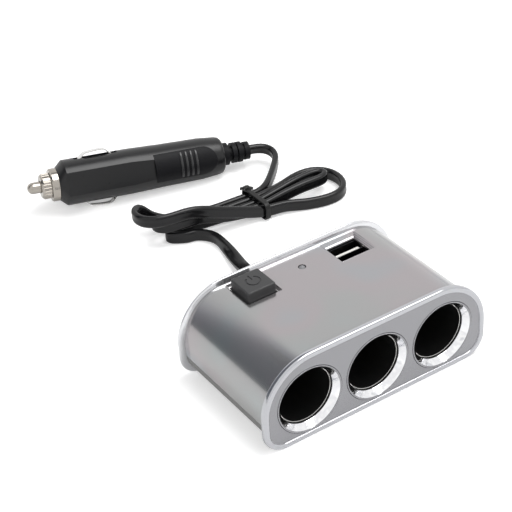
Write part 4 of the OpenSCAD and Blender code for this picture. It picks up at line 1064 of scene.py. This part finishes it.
# %% The finishes made so far, and the nodes that share them
SHARED = [
    (socket_black, "socket_barrel"), (button_plastic, "power_button"),
    (cable_black, "cable_grommet wire_negative"), (tie_black, "hank_tie"),
    (plug_plastic, "plug_half"), (grip_rubber, "plug_grip plug_strain_relief"),
    (nickel_plate, "negative_bus switch_spring switch_terminals plug_pin_spring "
                   "plug_contact")]
print("finishes made so far:", len(bpy.data.materials), "shared:", len(SHARED))

# %% Plastics, lacquer and glass of the small parts
PLASTICS = [
    (finish("tray_plastic", (0.15, 0.15, 0.145), 0.42, grain=1800), "lower_tray"),
    (finish("white_plastic", (0.72, 0.71, 0.67), 0.35, grain=1500, relief=0.01),
     "switch_plunger usb_tongue"),
    (finish("insulator_pale", (0.55, 0.49, 0.38), 0.6, grain=600, relief=0.03,
            tints=[(0.5, 0.44, 0.33), (0.6, 0.54, 0.43)], tint_scale=400),
     "insulator_disc"),
    (finish("board_green", (0.03, 0.14, 0.07), 0.35, coat=0.4, grain=500,
            tints=[(0.025, 0.12, 0.06), (0.04, 0.17, 0.08)], tint_scale=600),
     "charger_board"),
    (finish("part_dark", (0.02, 0.02, 0.022), 0.5, grain=1800),
     "switch_body board_inductor board_chip"),
    (finish("can_blue", (0.03, 0.05, 0.1), 0.3, relief=0.01), "board_capacitors"),
    (finish("wire_red", (0.35, 0.02, 0.015), 0.4, grain=1200, relief=0.01),
     "wire_feed wire_switched"),
    (finish("lamp_lens", (0.2, 0.2, 0.21), 0.5, grain=600, relief=0.004, shine=0.3),
     "status_led"),
    (finish("fuse_glass", (0.6, 0.64, 0.64), 0.08, coat=0.5, grain=300, relief=0.004),
     "plug_fuse")]
print("plastics and glass:", len(PLASTICS))

# %% Metals of the small parts
METALS = [
    # a darker, warmer nickel for the plug's collar, nut and pin
    (finish("warm_dark_nickel", (0.42, 0.39, 0.35), 0.16, metal=1.0, grain=800, relief=0.01),
     "plug_collar plug_cap_nut plug_pin"),
    (finish("brass_plate", (0.71, 0.5, 0.22), 0.2, metal=1.0, grain=700, relief=0.012),
     "centre_contact positive_bus usb_contacts plug_spring_cup"),
    (finish("steel_grey", (0.35, 0.35, 0.36), 0.28, metal=1.0, relief=0.015),
     "board_screws base_screws plug_screw"),
    # the port's shell is near black: painted shade inside the USB window, darker than its steel
    (finish("port_painted_shade", (0.07, 0.07, 0.075), 0.3, metal=1.0, relief=0.01), "usb_shell")]
print("metals:", len(METALS))

# %% Hand the finishes out
FINISH_OF = {words: material for material, names in SHARED + PLASTICS + METALS
             for words in names.split()}


def finish_for(name):
    """The finish whose key is the longest beginning of the node's name."""
    keys = [k for k in FINISH_OF if name.startswith(k)]
    return FINISH_OF[max(keys, key=len)] if keys else None


dressed = 0
for name, piece in nodes.items():
    material = finish_for(name)
    if material:
        for slot_place in piece.material_slots:
            slot_place.material = material
        dressed += 1
print("nodes with a finish from the table:", dressed)

# %% [markdown]
# ## The spring under the button
#
# A small spring holds the button up. It can't be seen, but it has to give way when the
# button is pressed, and a rigid solid would be cut by the plunger. A coil of the same
# size takes its place, and gets a mesh of its own.

# %% Wind the coil
SPRING_R, WIRE_R, SPRING_TURNS = 1.35, 0.22, 4
STEPS_A_TURN, WIRE_SIDES = 20, 8
spring_low, spring_high = [corner_point[2] / MM for corner_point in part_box("switch_spring")]
climb = spring_high - spring_low - 2 * WIRE_R
coil_rings = []
for i in range(SPRING_TURNS * STEPS_A_TURN + 1):
    a = 2 * math.pi * i / STEPS_A_TURN
    out = Vector((math.cos(a), math.sin(a), 0))
    rise = climb * i / (STEPS_A_TURN * SPRING_TURNS)
    centre = Vector((-ROW_X, ROW_Y, spring_low + WIRE_R + rise))
    coil_rings.append([centre + u * out + Vector((0, 0, v))
                       for u, v in circle(SPRING_R, 0, WIRE_R, WIRE_SIDES)])
print("spring height in mm:", round(spring_high - spring_low, 2))

# %% The coil, with a mesh of its own
bm = bmesh.new()
add_tube(bm, coil_rings)
coil = make_piece(bm, "switch_spring_coil", nickel_plate, sharp=60, even=False)
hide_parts("switch_spring")
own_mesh(coil)

# %% [markdown]
# ## Lamps
#
# The photograph is a product shot in soft light. Large area lamps give soft shadows, and
# only the one above is seen in mirrors, because the smaller shapes of the others would
# show as hard patches on the round flanks.

# %% Three soft lamps
AIM = (0, 0.05, 0)


def soft_light(name, place, aim, size, power, mirrored=False):
    """A rectangular lamp that looks at a point."""
    data = bpy.data.lights.new(name, "AREA")
    data.shape = "RECTANGLE"
    data.size, data.size_y = size
    data.energy = power
    light = bpy.data.objects.new(name, data)
    light.location = place
    light.rotation_euler = (Vector(aim) - Vector(place)).to_track_quat("-Z", "Y").to_euler()
    light.visible_glossy = mirrored
    bpy.context.scene.collection.objects.link(light)
    print(name, "power:", power)


soft_light("light_above", (0.3, -0.1, 0.95), AIM, (0.7, 0.6), 7, mirrored=True)
soft_light("light_left", (-0.8, -0.35, 0.6), AIM, (0.6, 0.6), 4)
soft_light("light_front", (0.5, -0.9, 0.5), (0, 0, 0), (0.7, 0.5), 4)

# %% [markdown]
# ## The white background
#
# The photograph is shot on white. The world is white to the camera, to mirrors and to
# glass, and weaker for all other light, so the background adds no more light than wanted.

# %% The world
WHITE = (1, 1, 1, 1)
WORLD_LIGHT = 0.45


def blank_tree(owner):
    """The emptied node tree of a material or a world."""
    owner.use_nodes = True
    owner.node_tree.nodes.clear()
    return owner.node_tree


def math_node(tree, operation, *values):
    """The result of a maths node whose inputs are numbers or other results."""
    return add_node(tree, "ShaderNodeMath", dict(enumerate(values)),
                    operation=operation).outputs[0]


world = bpy.data.worlds.new("studio_world")
bpy.context.scene.world = world
tree = blank_tree(world)
lit = add_node(tree, "ShaderNodeBackground", {"Color": WHITE, "Strength": WORLD_LIGHT})
seen = add_node(tree, "ShaderNodeBackground", {"Color": WHITE, "Strength": 1})
rays = add_node(tree, "ShaderNodeLightPath").outputs
either = math_node(tree, "MAXIMUM", rays["Is Camera Ray"], rays["Is Glossy Ray"])
any_of = math_node(tree, "MAXIMUM", either, rays["Is Transmission Ray"])
blend = add_node(tree, "ShaderNodeMixShader", {
    "Fac": any_of, 1: lit.outputs[0], 2: seen.outputs[0]})
add_node(tree, "ShaderNodeOutputWorld", {"Surface": blend.outputs[0]})
print("nodes of the world:", len(tree.nodes))

# %% [markdown]
# ## The floor
#
# The floor is pale paper that keeps the object's shadow. It glows a little for the camera
# alone, which lifts it to the white of the background without lighting the object.

# %% Paper that looks white
PAPER = (0.85, 0.85, 0.85, 1)
PAPER_GLOW = 0.35
FLOOR_HALF = 4


def flat_board(name, centre, across, along, material):
    """A four-cornered board, for the floor and the cards."""
    mesh = bpy.data.meshes.new(name)
    centre, across, along = Vector(centre), Vector(across), Vector(along)
    mesh.from_pydata([centre - across - along, centre + across - along,
                      centre + across + along, centre - across + along], [],
                     [(0, 1, 2, 3)])
    mesh.materials.append(material)
    board = bpy.data.objects.new(name, mesh)
    bpy.context.scene.collection.objects.link(board)
    print(name, "size in m:", round(2 * across.length, 2), round(2 * along.length, 2))
    return board


floor_material = bpy.data.materials.new("floor_white")
tree = blank_tree(floor_material)
paper = add_node(tree, "ShaderNodeBsdfDiffuse", {"Color": PAPER})
rays = add_node(tree, "ShaderNodeLightPath").outputs
glow = add_node(tree, "ShaderNodeEmission", {
    "Color": WHITE, "Strength": math_node(tree, "MULTIPLY", rays["Is Camera Ray"], PAPER_GLOW)})
both = add_node(tree, "ShaderNodeAddShader", {0: paper.outputs[0], 1: glow.outputs[0]})
add_node(tree, "ShaderNodeOutputMaterial", {"Surface": both.outputs[0]})
flat_board("floor", (0, 0, 0), (FLOOR_HALF, 0, 0), (0, FLOOR_HALF, 0), floor_material)

# %% [markdown]
# ## Cards behind the box
#
# What gives the round left flank its shape in the photograph is a dark band with a soft
# upper edge: the mirror image of a card behind the box on the left. A card of the same
# kind stands here, and only mirrors see it. Its tone follows the angle above the table,
# and its upper edge climbs as the card reaches farther out, so the band sinks toward the
# back of the flank. A small black card adds a faint dark spot near the front frame.

# %% Angles and distances on the card
LOW_TONES = [(0, (0.3, 0.32, 0.33)), (6, (0.15, 0.17, 0.19)), (16, (0.1, 0.115, 0.14))]
EDGE_TONES = [(0, (0.1, 0.115, 0.14)), (24, (0.105, 0.12, 0.155)), (31, (0.2, 0.2, 0.26)),
              (40, (0.5, 0.5, 0.58)), (52, (0.8, 0.8, 0.86)), (66, (1, 1, 1))]
EDGE_CLIMB, EDGE_REACH = 660, 0.445

card_slate = bpy.data.materials.new("card_slate")
tree = blank_tree(card_slate)
place = add_node(tree, "ShaderNodeNewGeometry").outputs["Position"]
split = add_node(tree, "ShaderNodeSeparateXYZ", {0: place}).outputs
up = split["Z"]
left = math_node(tree, "MULTIPLY", split["X"], -1)
angle = math_node(tree, "DEGREES", math_node(tree, "ARCTAN2", up, left))
out_left = math_node(tree, "MAXIMUM", left, 0)
reach = math_node(tree, "SQRT", math_node(
    tree, "ADD", math_node(tree, "MULTIPLY", out_left, out_left),
    math_node(tree, "MULTIPLY", up, up)))
edge_angle = math_node(tree, "SUBTRACT", angle, math_node(
    tree, "MULTIPLY", math_node(tree, "SUBTRACT", reach, EDGE_REACH), EDGE_CLIMB))
print("maths nodes of the card:", len(tree.nodes) - 2)

# %% The slate card


def tone_ramp(tree, tones, angle):
    """Tones by an angle from 0 to 90 degrees."""
    share = math_node(tree, "DIVIDE", angle, 90)
    return colour_ramp(tree, share, [(degrees / 90, tone) for degrees, tone in tones])


lighter = add_node(tree, "ShaderNodeMix", data_type="RGBA", blend_type="LIGHTEN")
feed(tree, lighter, {"Factor": 1, 6: tone_ramp(tree, LOW_TONES, angle),
                     7: tone_ramp(tree, EDGE_TONES, edge_angle)})
glow = add_node(tree, "ShaderNodeEmission", {"Color": lighter.outputs[2]})
add_node(tree, "ShaderNodeOutputMaterial", {"Surface": glow.outputs[0]})
card = flat_board("slate_card", (-0.32, 0.42, 0.4), (0.68, 0, 0), (0, 0, 0.4), card_slate)

# %% The small black card, and what sees the cards
card_black = bpy.data.materials.new("card_black")
card_black.use_nodes = True
feed(card_black.node_tree, card_black.node_tree.nodes["Principled BSDF"],
     {"Base Color": (0.02, 0.02, 0.024, 1), "Roughness": 0.9})
small_card = flat_board("small_card", (-0.155, 0.415, 0.525), (0.115, 0, 0.022),
                        (-0.006, 0, 0.03), card_black)
for board in (card, small_card):
    board.visible_camera = False
    board.visible_shadow = False
    board.visible_diffuse = False

# %% Finish
bpy.context.scene.view_settings.view_transform = "Standard"
